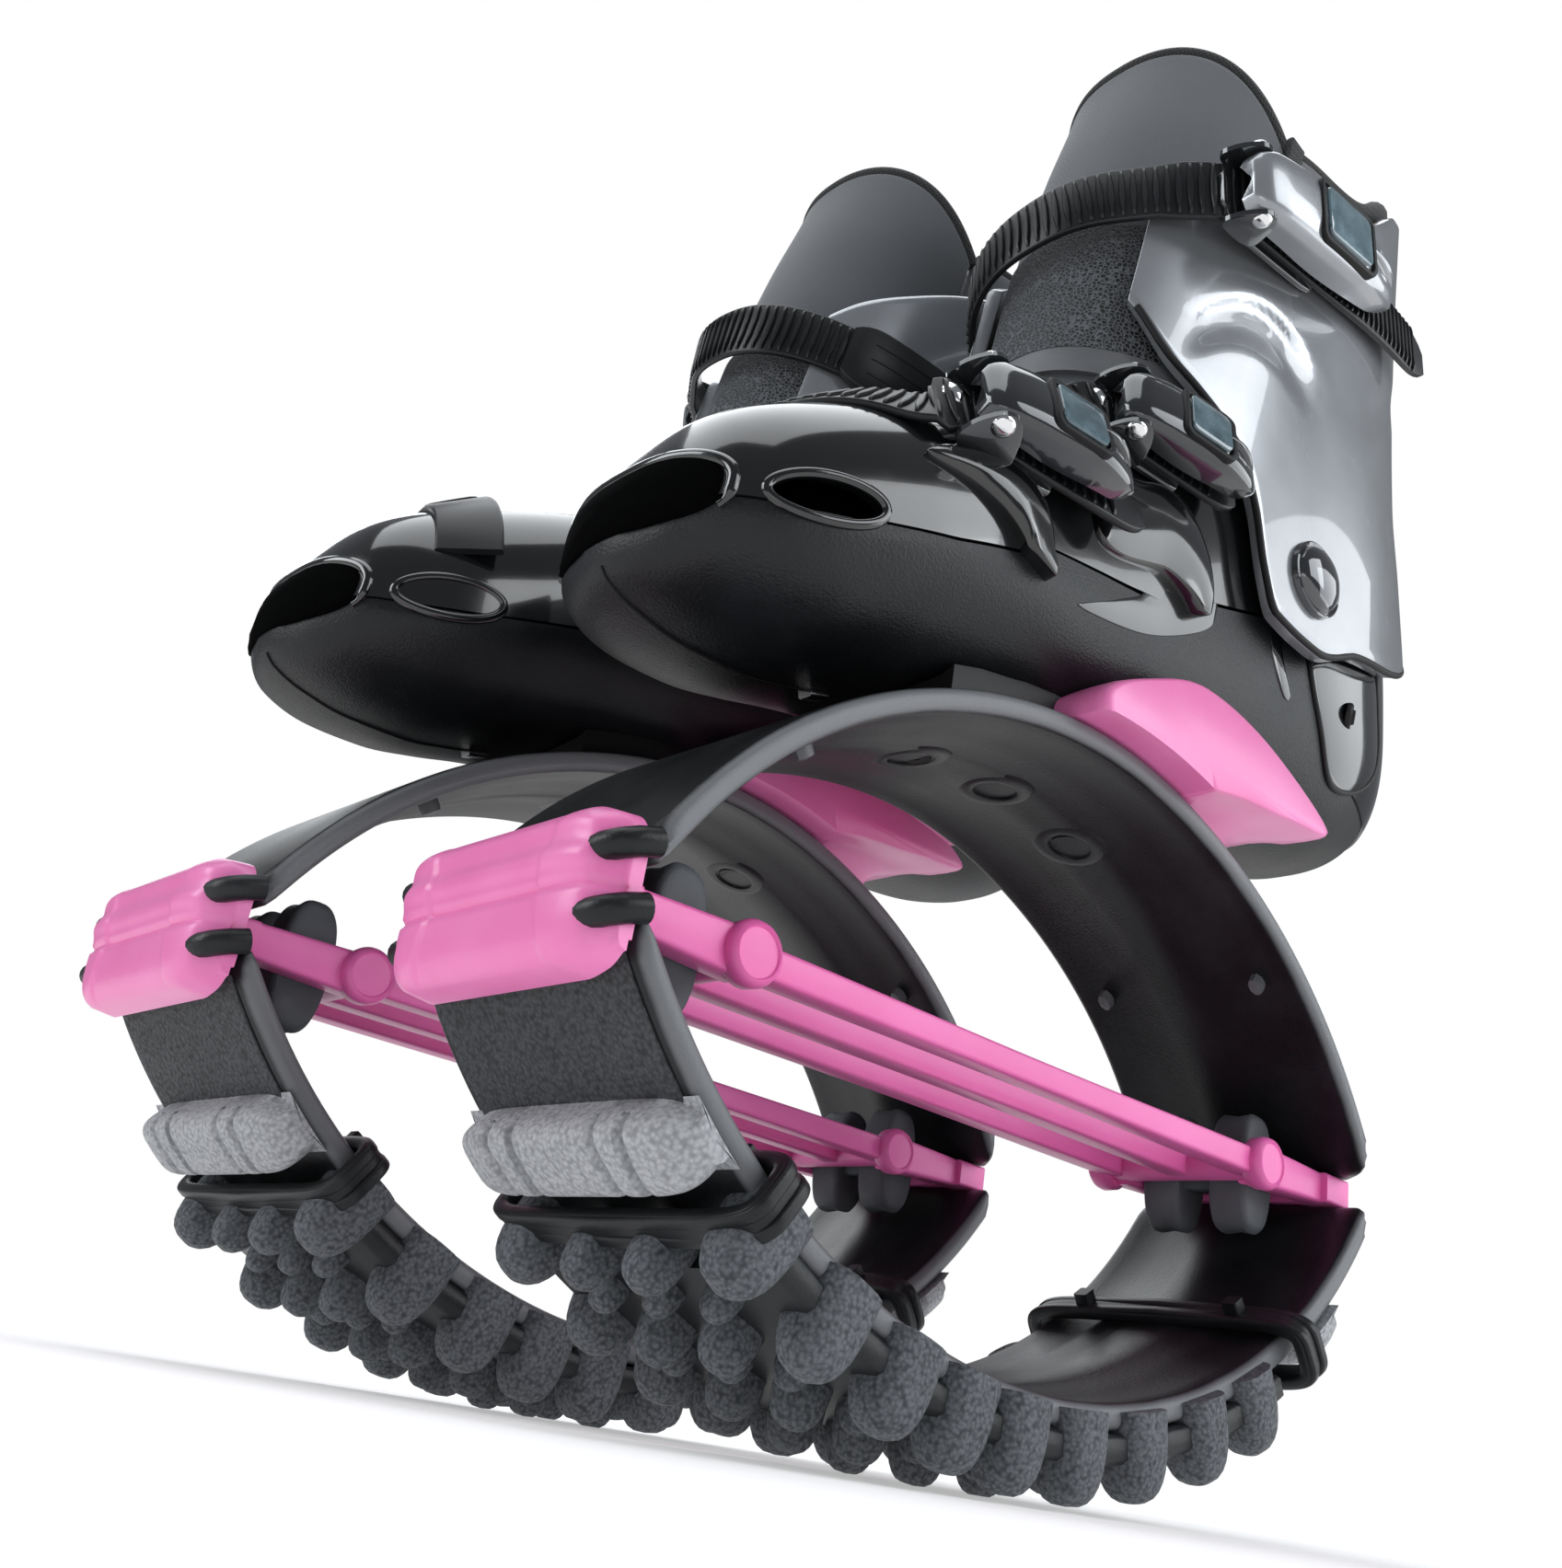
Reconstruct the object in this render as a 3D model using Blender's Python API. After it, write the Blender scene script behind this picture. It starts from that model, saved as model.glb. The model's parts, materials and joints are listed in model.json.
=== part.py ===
"""A pair of rebound boots: a ski-style boot on a springy oval of two arcs.

Blender 4.5, metres, +Z up. The toes point to -X and the floor is Z = 0.
Each boot is built in its own frame, where "out" is the side with the buckles,
then set down beside the other one. The right boot mirrors the left one.
"""
import bpy
import bmesh
from math import pi, sin, cos, radians
from mathutils import Vector

# Clearances
gap = 0.0003            # between faces that touch
cut_overrun = 0.02      # how far a cutter passes what it cuts
smooth_below = radians(35)      # edges bent less than this are shaded smooth
round_sides = 12        # of small round bars and holes
rivet_sides = 20
barrel_steps = 8
nudge = 0.01            # a small turn or share, to find which way a surface faces

# Where the two boots stand
boots_apart = 0.1175    # centre to centre, across
right_ahead = 0.0240    # the right boot stands this much nearer the toes
pair_shift = -0.0031    # puts the middle of the pair on the origin

# The oval of two arcs
arc_half = 0.130        # middle to the inner bend
arc_width = 0.076
arc_wall = 0.006
hinge_height = 0.094
lip_spacing = 0.009     # between the facing sides of the two lips
upper_rise = 0.0767
lower_drop = 0.0672
lip_front = 0.008
lip_rear = 0.008
lip_taper_share = 1.2   # how much each lip narrows per side, of its length
arc_steps = 18
upper_shares = (0.18, 0.28)    # how the arcs' height departs from a parabola
lower_shares = (0.23, 0.175)
rib_depth = 0.0012      # the raised band along the middle of each arc
lip_rib = 0.0001        # what is left of it on the lips
rib_width = 0.034
groove_width = 0.004

# Arc bolts, in the raised band
bolt_spacing = 0.0335
bolt_radius = 0.0055
bolt_recess = 0.0004
bolt_socket = 0.0022
bolt_sides = 12
socket_shares = (0.62, 0.58)    # the hexagon socket at its mouth and floor, of the stud

# Tension spring between the hinge lips
spring_bar_width = 0.008
spring_bar_height = 0.007
spring_bar_pitch = 0.022
rod_inset = 0.034       # from the bend of the arc
rod_place = arc_half - rod_inset
rod_radius = 0.0045
knob_radius = 0.0065
knob_length = 0.003
arm_height = 0.011
hinge_plate_width = 0.056
hinge_plate_inset = 0.004

# Bumper blocks behind the rods
bumper_height = 0.034
bumper_length = 0.015
bumper_width = 0.012
bumper_corner_share = 0.32
bumper_pitch = 0.022

# Front hinge cap
cap_width = 0.080
cap_depth = 0.0078
cap_half_height = 0.017
cap_grip = 0.0038       # how far its lobes reach along the lips
cap_ridge = 0.0012

# Tread
tread_base = 0.003
lug_height = 0.0115
flat_half = arc_half * 0.277    # the part of the tread that is level on the floor
pad_length = 0.007
tread_gap = 0.0006      # rubber to arc, whose facets differ
tread_rows = 9
tread_columns = 3
pad_share = 0.6         # height of the end pads, of a lug
pad_tip_share = 0.4
lug_slope = 0.0015
side_lug_out = 0.006
side_lug_up = 0.004
side_rest_share = 0.12

# Clamps round the arc and the end of the tread
clamp_inset = 0.0395     # from the bend of the arc
clamp_place = arc_half - clamp_inset
clamp_bar = 0.0045
clamp_length = 0.008

# Boot shell
boot_length = arc_half * 2.4
toe_overhang = 0.006    # the toe stands ahead of the bend of the arc
toe_place = -arc_half - toe_overhang
hull_height = 0.130
hull_half = 0.048
shell_wall = 0.004
parting_gap = 0.0003
toe_slot_long = 0.030
toe_slot_wide = 0.040
toe_slot_deep = 0.016
vent_wide = 0.014
vent_side = 0.026
vent_share = 0.130
vent_turn = 0.75
toe_slot_share = 0.045
hull_square_share = 0.75
hull_ring = 14

# Seat under the boot
plate_front = arc_half * 0.4
plate_rear = arc_half * 0.346
plate_half = 0.030
plate_levels = (-0.18, 0.12)    # shares of the hull height, from the seat
saddle_half = 0.0465

# Liner, tongue and footbed
liner_wall = 0.008
liner_lap = 0.006
tongue_drop = 0.036     # how much lower its side edges end
tongue_turn = 1.30      # how far it wraps to each side, in radians
tongue_steps = 8
tongue_levels = 4
tongue_gap = 0.0006
tongue_foot = 0.002     # its lower edge above the shell
tongue_rim_share = 0.22   # level where its lower edge meets the shell
shaft_ring_points = 16
shaft_square_share = 0.86
throat_steps = 8
bed_thickness = 0.004
bed_half = 0.030

# Cuff
cuff_wall = 0.004
cuff_mouth_half = 0.034
rivet_radius = 0.011
rivet_height = 0.003
rivet_top_share = 0.6

# Straps and buckles
strap_wall = 0.0026
tooth = 0.0012
base_floor = 0.002
ear_wall = 0.002
barrel_radius = 0.0035
lever_wall = 0.003
tab_wall = 0.0028
pin_head_radius = 0.003
pin_head = 0.0012
pin_top_share = 0.8
buckle_length = 0.066
buckle_width = 0.026
base_reach_share = 0.12
base_foot = 0.005       # depth of the foot that seats a lower buckle on the shell
base_foot_radius = 0.0055
side_buckle_share = 0.75    # size of the two lower buckles, of the top one's base
top_buckle_share = 1.25
tab_width_share = 0.72
buckle_lift = 0.0008
strap_lift = 0.0016
strap_width = 0.018
strap_tail = 0.012
strap_lead = 0.006      # straight run before the buckle
tooth_pitch = 0.0110
hug_steps = 9
top_hug_steps = 12
top_strap_width = 0.020
top_strap_tail = 0.048
top_strap_rise = 0.14   # slope of the straight stretch on the out side

mouth_z = hinge_height + lip_spacing / 2
floor_lip_z = hinge_height - lip_spacing / 2
crown_z = mouth_z + upper_rise + arc_wall
seat_z = crown_z + gap
UP = Vector((0.0, 0.0, 1.0))
CLOSED = "MANIFOLD"     # the solver for thin walls that the exact one loses

# Shares of the boot length, hull height (from the seat) and hull half width:
# along, bottom, top, widest level, half width
hull_shares = [
    (0.000, -0.095, 0.065, -0.025, 0.150),
    (0.012, -0.142, 0.150, -0.015, 0.420),
    (0.040, -0.195, 0.262, 0.000, 0.690),
    (0.085, -0.228, 0.345, 0.020, 0.850),
    (0.140, -0.215, 0.420, 0.060, 0.940),
    (0.190, -0.140, 0.480, 0.105, 0.985),
    (0.240, -0.060, 0.535, 0.150, 1.000),
    (0.300, -0.015, 0.605, 0.200, 0.990),
    (0.360, 0.012, 0.680, 0.245, 0.955),
    (0.430, 0.025, 0.790, 0.300, 0.900),
    (0.500, 0.040, 1.050, 0.350, 0.855),
    (0.580, 0.052, 1.350, 0.400, 0.835),
    (0.660, 0.062, 1.450, 0.440, 0.830),
    (0.740, 0.072, 1.450, 0.470, 0.830),
    (0.820, 0.088, 1.400, 0.490, 0.800),
    (0.890, 0.130, 1.250, 0.510, 0.710),
    (0.945, 0.215, 1.050, 0.540, 0.530),
    (0.980, 0.330, 0.890, 0.580, 0.320),
    (1.000, 0.480, 0.760, 0.620, 0.130),
]

# The parting line between the two shells, side view, as shares of the
# boot length and of the hull height above the seat
parting_shares = [
    (-0.06, -0.06), (0.028, 0.030), (0.070, 0.085), (0.110, 0.110), (0.200, 0.165),
    (0.300, 0.235), (0.305, 0.262), (0.470, 0.330), (0.475, 0.362), (0.590, 0.455),
    (0.660, 0.515), (0.710, 0.500), (0.725, 0.415), (0.755, 0.325), (0.820, 0.262),
    (0.900, 0.240), (1.060, 0.230),
]

# The upper edge of the upper shell, in the same shares
collar_shares = [
    (0.275, 0.640), (0.330, 0.610), (0.400, 0.650), (0.480, 0.760), (0.560, 0.850),
    (0.680, 0.890), (0.880, 0.860), (1.060, 0.830),
]

# The shaft of the boot, placed from the hull
shaft_base = seat_z + hull_height * 0.4115
shaft_height = 0.250
shaft_depth = boot_length * 0.5288
shaft_half = 0.044
shaft_place = toe_place + boot_length * 0.6923
liner_top = shaft_base + shaft_height * 0.932
tongue_top = shaft_base + shaft_height * 0.900
throat_low = shaft_base + shaft_height * 0.204
cuff_pivot_x = shaft_place - shaft_depth * 0.018
cuff_pivot_z = shaft_base + shaft_height * 0.112
top_buckle_x = shaft_place - shaft_depth * 0.1455
top_buckle_z = shaft_base + shaft_height * 0.548

# level, front and back (from the middle of the shaft, in depths), half width
liner_shares = [
    (0.00, -0.46, 0.500, 0.70), (0.11, -0.585, 0.540, 0.79), (0.20, -0.575, 0.535, 0.83),
    (0.27, -0.550, 0.525, 0.870), (0.38, -0.520, 0.490, 0.920), (0.54, -0.475, 0.465, 0.960),
    (0.70, -0.420, 0.460, 0.985), (0.86, -0.355, 0.460, 1.010), (1.00, -0.310, 0.460, 1.020),
]
cuff_shares = [
    (0.00, -0.66, 0.598, 0.970), (0.11, -0.655, 0.598, 0.970), (0.27, -0.60, 0.560, 0.980),
    (0.38, -0.56, 0.519, 0.995), (0.54, -0.510, 0.497, 1.020), (0.70, -0.455, 0.491, 1.040),
    (0.86, -0.390, 0.488, 1.065), (1.00, -0.345, 0.485, 1.080),
]

# Top edge of the liner, in the same shares
liner_top_shares = [(-0.70, 0.74), (-0.12, 0.76), (0.12, 0.80), (0.33, 0.88), (0.52, 0.965), (0.80, 0.98)]

# Side view of the cuff: shares of shaft depth from its middle, and of shaft
# height above its base
cuff_outline_shares = [
    (-0.575, 0.450), (-0.580, 0.300), (-0.430, 0.272), (-0.315, 0.258), (-0.195, 0.222),
    (-0.115, 0.172), (-0.092, 0.105), (-0.060, 0.064), (0.050, 0.046), (0.240, 0.085),
    (0.430, 0.165), (0.580, 0.245), (0.760, 0.285), (0.760, 0.880), (0.480, 0.885),
    (0.240, 0.845), (0.000, 0.765), (-0.240, 0.655), (-0.430, 0.550),
]

# Side view of the heel saddle, as shares of the boot length and hull height
saddle_shares = [
    (0.400, 0.065), (0.455, 0.128), (0.530, 0.180), (0.618, 0.172), (0.686, 0.118),
    (0.722, 0.068), (0.712, 0.042), (0.622, 0.025), (0.606, -0.115), (0.535, -0.105),
    (0.430, -0.085), (0.382, -0.080), (0.385, -0.010),
]

# The cap across its width: place, depth of its mouth, nose and height as shares
cap_shares = [
    (-1.00, 0.10, 0.25, 0.80), (-0.86, 0.30, 0.52, 0.92), (-0.70, 1.00, 0.74, 1.0), (-0.35, 1.00, 0.96, 1.0),
    (0.35, 1.00, 0.96, 1.0), (0.70, 1.00, 0.74, 1.0), (0.86, 0.30, 0.52, 0.92), (1.00, 0.10, 0.25, 0.80),
]

# Top of the footbed, side view
bed_shares = [(0.130, -0.060), (0.230, 0.070), (0.350, 0.175), (0.440, 0.215), (0.830, 0.215)]

# Straps: far end and near end (share of length, turn), buckle middle, lean
forefoot_shares = ((0.100, 0.35), (0.185, 2.42), (0.275, 2.68), 2.2)
instep_shares = ((0.290, 0.35), (0.350, 2.25), (0.470, 2.62), 1.2)
hug_bend = 2.5          # how late a strap turns towards its buckle
top_strap_turns = (-2.0, 0.50)
top_strap_share = 0.515
top_strap_tilt_share = 0.045

# The four side lugs and centre lugs as shares of one tread row
lug_row_shares = (0.10, 0.22, 0.72, 0.84)
lug_column_shares = (0.10, 0.18, 0.80, 0.88)

# Buckle lever, seen from the side: along the buckle length, above the floor
lever_shares = [(0.0, 0.0), (0.30, 0.35), (0.62, 0.42), (1.0, 0.0)]

collection = bpy.context.scene.collection
for thing in list(bpy.data.objects):
    bpy.data.objects.remove(thing, do_unlink=True)


def material(name, colour, roughness, metallic):
    """A plain Principled material, made once."""
    found = bpy.data.materials.get(name)
    if found:
        return found
    made = bpy.data.materials.new(name)
    made.use_nodes = True
    shader = made.node_tree.nodes["Principled BSDF"]
    shader.inputs["Base Color"].default_value = (*colour, 1.0)
    shader.inputs["Roughness"].default_value = roughness
    shader.inputs["Metallic"].default_value = metallic
    return made


def add(name, bm, finish, pivot=(0.0, 0.0, 0.0)):
    """Turn a bmesh in world metres into an object whose origin is the pivot."""
    bmesh.ops.recalc_face_normals(bm, faces=bm.faces[:])
    bmesh.ops.translate(bm, verts=bm.verts[:], vec=-Vector(pivot))
    mesh = bpy.data.meshes.new(name)
    bm.to_mesh(mesh)
    bm.free()
    thing = bpy.data.objects.new(name, mesh)
    thing.location = pivot
    collection.objects.link(thing)
    if finish:
        mesh.materials.append(finish)
        mesh.shade_smooth()
        mesh.set_sharp_from_angle(angle=smooth_below)
    return thing


def cutter(name, bm):
    """An object that only serves a Boolean modifier."""
    thing = add(name, bm, None)
    thing.hide_render = True
    thing.display_type = "WIRE"
    return thing


def boolean(thing, tool, operation="DIFFERENCE", solver="EXACT"):
    step = thing.modifiers.new(tool.name, "BOOLEAN")
    step.operation = operation
    step.solver = solver
    step.object = tool


def loft(rings, bm=None):
    """Skin closed rings of points one after the other and close both ends."""
    bm = bm or bmesh.new()
    loops = [[bm.verts.new(p) for p in ring] for ring in rings]
    for a, b in zip(loops, loops[1:]):
        for i in range(len(a)):
            j = (i + 1) % len(a)
            bm.faces.new((a[i], a[j], b[j], b[i]))
    bm.faces.new(loops[0])
    bm.faces.new(loops[-1][::-1])
    return bm


class Boot:
    """Places points of one boot: along, out (to the buckle side) and up."""

    def __init__(self, name, side, along):
        self.name = name
        self.side = side
        self.along = along

    def point(self, x, out, z):
        return Vector((x + self.along, self.side * (boots_apart / 2 + out), z))

    def node(self, piece):
        return self.name + "_" + piece


def prism(boot, outline, out_low, out_high, bm=None):
    """A side-view outline pushed straight across the boot."""
    return loft([[boot.point(x, out, z) for x, z in outline] for out in (out_low, out_high)], bm)


def block(boot, x_range, out_range, z_range, bm=None):
    (x0, x1), (z0, z1) = x_range, z_range
    return prism(boot, [(x0, z0), (x1, z0), (x1, z1), (x0, z1)], *out_range, bm)


def disc(centre, axis, radius, length, sides, bm=None, tip_share=1.0):
    """A round bar from centre along axis."""
    axis = axis.normalized()
    across = axis.orthogonal().normalized()
    other = axis.cross(across)
    rings = []
    for reach, size in ((0.0, radius), (length, radius * tip_share)):
        turns = [2 * pi * k / sides for k in range(sides)]
        rings.append([centre + axis * reach + (across * cos(a) + other * sin(a)) * size for a in turns])
    return loft(rings, bm)


def shifted(path, distance):
    """An open side-view path moved to its left by a distance, with mitred bends."""
    points = [Vector(p) for p in path]
    sides = []
    for a, b in zip(points, points[1:]):
        run = (b - a).normalized()
        sides.append(Vector((-run.y, run.x)))
    sides = [sides[0]] + sides + [sides[-1]]
    moved = []
    for point, before, after in zip(points, sides, sides[1:]):
        moved.append(point + (before + after) * distance / (1 + before.dot(after)))
    return moved


def arc_line(upper, lips=True):
    """The inner line of one arc, front to rear, with its two lips."""
    base, rise, shape = (mouth_z, upper_rise, upper_shares) if upper else (floor_lip_z, -lower_drop, lower_shares)
    line = []
    for k in range(arc_steps + 1):
        t = -cos(pi * k / arc_steps) * 0.35 + (2 * k / arc_steps - 1) * 0.65
        line.append((arc_half * t, base + rise * (1 - t * t) * (1 + shape[0] * t * t + shape[1] * t ** 4)))
    if lips:
        line = [(-arc_half - lip_front, base)] + line + [(arc_half + lip_rear, base)]
    return line


def sample(path, share):
    """The point and the left-hand side of a path at a share of its length."""
    points = [Vector(p) for p in path]
    lengths = [(b - a).length for a, b in zip(points, points[1:])]
    left_over = share * sum(lengths)
    for a, b, length in zip(points, points[1:], lengths):
        if left_over <= length or b is points[-1]:
            run = (b - a).normalized()
            return a + run * left_over, Vector((-run.y, run.x))
        left_over -= length


def clipped(path, reach):
    """The middle stretch of a path, up to a distance along the boot each way."""
    kept = [p for p in path if abs(p[0]) < reach]
    ends = [tuple(level_point(path, x)[0]) for x in (-reach, reach)]
    return [ends[0]] + kept + [ends[1]]


def arc(boot, upper):
    """One spring arc: a wide strip with lips and a raised band on its inner face."""
    line = arc_line(upper)
    away = 1 if upper else -1
    rings = []
    step = groove_width
    sides = shifted(line, away)
    for index, point in enumerate(line):
        push = sides[index] - Vector(point)
        rise = lip_rib if index < 2 or index > len(line) - 3 else rib_depth
        corner = {0: lip_front, len(line) - 1: lip_rear}.get(index, 0.0) * lip_taper_share
        half, band = arc_width / 2 - corner, rib_width / 2
        section = [
            (-half, 0.0), (-band - step, 0.0), (-band, -rise), (band, -rise),
            (band + step, 0.0), (half, 0.0), (half, arc_wall), (-half, arc_wall),
        ]
        rings.append([boot.point(point[0] + push.x * d, out, point[1] + push.y * d) for out, d in section])
    name = "upper_arc" if upper else "lower_arc"
    thing = add(boot.node(name), loft(rings), material("spring_composite", (0.030, 0.032, 0.036), 0.42, 0.0))
    if upper:
        holes = bmesh.new()
        for place in (-bolt_spacing, 0.0, bolt_spacing):
            start = boot.point(place, 0.0, crown_z - hull_height / 4)
            disc(start, UP, bolt_radius + gap, hull_height, bolt_sides, holes)
        boolean(thing, cutter(boot.node("bolt_holes"), holes))


def tread(boot):
    """Rubber sole: one strip with rows of lugs, and a pad beyond each clamp."""
    line = arc_line(False, lips=False)
    rings = []
    bare = clamp_length / 2 + lug_slope
    lugged = clipped(line, clamp_place - bare)
    for row in range(tread_rows):
        for spot, grow in zip(lug_row_shares, (0.0, 1.0, 1.0, 0.0)):
            rings.append(tread_ring(boot, sample(lugged, (row + spot) / tread_rows), grow, True))
    for end in (-1, 1):
        pads = []
        for reach, grow in ((bare * 0.5, 0.0), (bare, 0.0), (bare + lug_slope, pad_share),
                            (bare + pad_length, pad_share), (bare + pad_length + lug_slope, pad_tip_share)):
            pads.append(tread_ring(boot, level_point(line, end * (clamp_place + reach)), grow, False))
        rings = rings + pads if end > 0 else pads[::-1] + rings
    add(boot.node("tread_sole"), loft(rings), material("tread_rubber", (0.055, 0.057, 0.062), 0.80, 0.0))


def tread_ring(boot, spot, grow, lugged):
    """One section of the tread, from the arc down, with its side lugs and columns."""
    point, up = spot
    half = arc_width / 2
    side = grow if lugged else 0.0
    edge = side_rest_share + (1 - side_rest_share) * side
    section = [
        (-half, 0.0), (-half - gap, 0.0), (-half - gap, -side_lug_up * side - gap * edge),
        (-half - gap - side_lug_out * edge, -side_lug_up * side),
        (-half - gap - side_lug_out * edge, tread_base + lug_height * 0.8 * side),
    ]
    pitch = 2 * half / tread_columns
    for column in range(tread_columns):
        for share, top in zip(lug_column_shares, (0.0, 1.0, 1.0, 0.0)):
            at_edge = (column, top) in ((0, 0.0), (tread_columns - 1, 0.0)) and abs(
                column + share - tread_columns / 2) > tread_columns / 2 - 0.2
            rise = grow * (top if lugged or at_edge else 1.0)
            section.append((-half + pitch * (column + share), tread_base + lug_height * rise))
    section += [(-out, depth) for out, depth in section[4::-1]]
    ring = []
    for out, depth in section:
        x, z = point.x - up.x * (depth + arc_wall + tread_gap), point.y - up.y * (depth + arc_wall + tread_gap)
        on_floor = lugged and depth > tread_base + lug_height * 0.9
        if on_floor and (abs(x) < flat_half or z < 0.0):
            z = 0.0
        ring.append(boot.point(x, out, max(z, 0.0)))
    return ring


def level_point(path, x):
    """Where a path passes a distance along the boot, and its left-hand side there."""
    for a, b in zip(path, path[1:]):
        low, high = min(a[0], b[0]), max(a[0], b[0])
        if low <= x <= high:
            a, b = Vector(a), Vector(b)
            run = (b - a).normalized()
            return a.lerp(b, (x - a.x) / (b.x - a.x)), Vector((-run.y, run.x))
    raise ValueError("the path does not reach that far")


def clamps(boot):
    """Two square loops that hold the ends of the tread on the arc."""
    line = arc_line(False, lips=False)
    for name, place in (("front_clamp", -clamp_place), ("rear_clamp", clamp_place)):
        bm = bmesh.new()
        point, up = level_point(line, place)
        run = Vector((up.y, -up.x))
        inner = (arc_width / 2 + side_rest_share * side_lug_out + 2 * gap, -gap - rib_depth,
                 arc_wall + tread_gap + tread_base + gap)
        outer = (inner[0] + clamp_bar, inner[1] - clamp_bar * 0.6, inner[2] + clamp_bar)
        loops = []
        for shift in (-clamp_length / 2, clamp_length / 2):
            for half, low, high in (outer, inner):
                corners = []
                for out, depth in ((-half, low), (half, low), (half, high), (-half, high)):
                    spot = point + run * shift - up * depth
                    corners.append(bm.verts.new(boot.point(spot.x, out, spot.y)))
                loops.append(corners)
        front_outer, front_inner, rear_outer, rear_inner = loops
        for a, b in ((front_outer, rear_outer), (rear_inner, front_inner),
                     (front_inner, front_outer), (rear_outer, rear_inner)):
            for i in range(4):
                j = (i + 1) % 4
                bm.faces.new((a[i], a[j], b[j], b[i]))
        add(boot.node(name), bm, material("clamp_plastic", (0.045, 0.047, 0.052), 0.50, 0.0))


def tension_spring(boot):
    """Three bars between two cross rods, with arms to the two hinge plates."""
    pink = material("pink_elastomer", (0.900, 0.250, 0.600), 0.42, 0.0)
    thick = lip_spacing - 2 * gap
    bm = bmesh.new()
    across = (-hinge_plate_width / 2, hinge_plate_width / 2)
    level = (hinge_height - thick / 2, hinge_height + thick / 2)
    block(boot, (-arc_half - lip_front, -arc_half + hinge_plate_inset), across, level, bm)
    block(boot, (arc_half - hinge_plate_inset, arc_half + lip_rear), across, level, bm)
    spring = add(boot.node("tension_spring"), bm, pink)
    bars = bmesh.new()
    arms = bmesh.new()
    for out in (-spring_bar_pitch, 0.0, spring_bar_pitch):
        sides = (out - spring_bar_width / 2, out + spring_bar_width / 2)
        heights = (hinge_height - spring_bar_height / 2, hinge_height + spring_bar_height / 2)
        block(boot, (-rod_place, rod_place), sides, heights, bars)
        if out:
            heights = (hinge_height - arm_height / 2, hinge_height + arm_height / 2)
            block(boot, (-arc_half + hinge_plate_inset / 2, -rod_place), sides, heights, arms)
            block(boot, (rod_place, arc_half - hinge_plate_inset / 2), sides, heights, arms)
    rods = bmesh.new()
    reach = spring_bar_pitch + spring_bar_width / 2 + knob_length
    for place in (-rod_place, rod_place):
        start = boot.point(place, -reach, hinge_height)
        end = boot.point(place, reach, hinge_height)
        disc(start, end - start, rod_radius, 2 * reach, round_sides, rods)
    knobs = bmesh.new()
    for place in (-rod_place, rod_place):
        for side in (-1, 1):
            start = boot.point(place, side * (reach - 2 * knob_length), hinge_height)
            end = boot.point(place, side * (reach + knob_length), hinge_height)
            disc(start, end - start, knob_radius, (end - start).length, round_sides, knobs)
    for part_name, mesh in (("bars", bars), ("arms", arms), ("rods", rods), ("knobs", knobs)):
        boolean(spring, cutter(boot.node("spring_" + part_name), mesh), "UNION")


def bumpers(boot):
    """Upright rubber blocks behind each cross rod, a pair joined by a bar."""
    corner = bumper_length * bumper_corner_share
    half_h, half_l = bumper_height / 2, bumper_length / 2
    for name, end in (("front_bumpers", -1), ("rear_bumpers", 1)):
        middle = end * (rod_place + rod_radius + gap + half_l)
        outline = [
            (-half_l, -half_h + corner), (-half_l + corner, -half_h), (half_l - corner, -half_h),
            (half_l, -half_h + corner), (half_l, half_h - corner), (half_l - corner, half_h),
            (-half_l + corner, half_h), (-half_l, half_h - corner),
        ]
        outline = [(middle + x, hinge_height + z) for x, z in outline]
        bm = bmesh.new()
        for side in (-1, 1):
            out = side * bumper_pitch / 2
            prism(boot, outline, out - bumper_width / 2, out + bumper_width / 2, bm)
        pair = add(boot.node(name), bm, material("bumper_rubber", (0.070, 0.072, 0.078), 0.70, 0.0))
        bar = block(boot, (middle - half_l / 2, middle + half_l / 2), (-bumper_pitch / 2, bumper_pitch / 2),
                    (hinge_height - arm_height / 2, hinge_height + arm_height / 2))
        boolean(pair, cutter(boot.node(name + "_bar"), bar), "UNION")


def front_cap(boot):
    """A C-shaped cap with a rounded nose over the two front lips and the hinge plate."""
    grip = -arc_half - lip_front + cap_grip
    rings = []
    for across, reach, nose, tall in cap_shares:
        inner = grip - cap_grip * reach - gap
        tip = inner - cap_depth * nose
        top, bottom = hinge_height + cap_half_height * tall, hinge_height - cap_half_height * tall
        roof, cellar = mouth_z + arc_wall + gap, floor_lip_z - arc_wall - gap
        soft = cap_depth * nose * 0.5
        ridge = cap_ridge * nose
        rings.append([boot.point(x, cap_width / 2 * across, z) for x, z in (
            (grip, roof), (grip, top), (tip + soft * 2, top), (tip + soft * 0.4, top - soft),
            (tip + ridge, hinge_height + soft * 1.2), (tip, hinge_height + soft * 0.6),
            (tip, hinge_height - soft), (tip + soft * 0.6, bottom + soft * 0.8), (tip + soft * 2, bottom),
            (grip, bottom), (grip, cellar), (inner, cellar), (inner, roof))])
    add(boot.node("front_hinge_cap"), loft(rings), material("pink_shell", (0.940, 0.360, 0.690), 0.34, 0.0))


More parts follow.
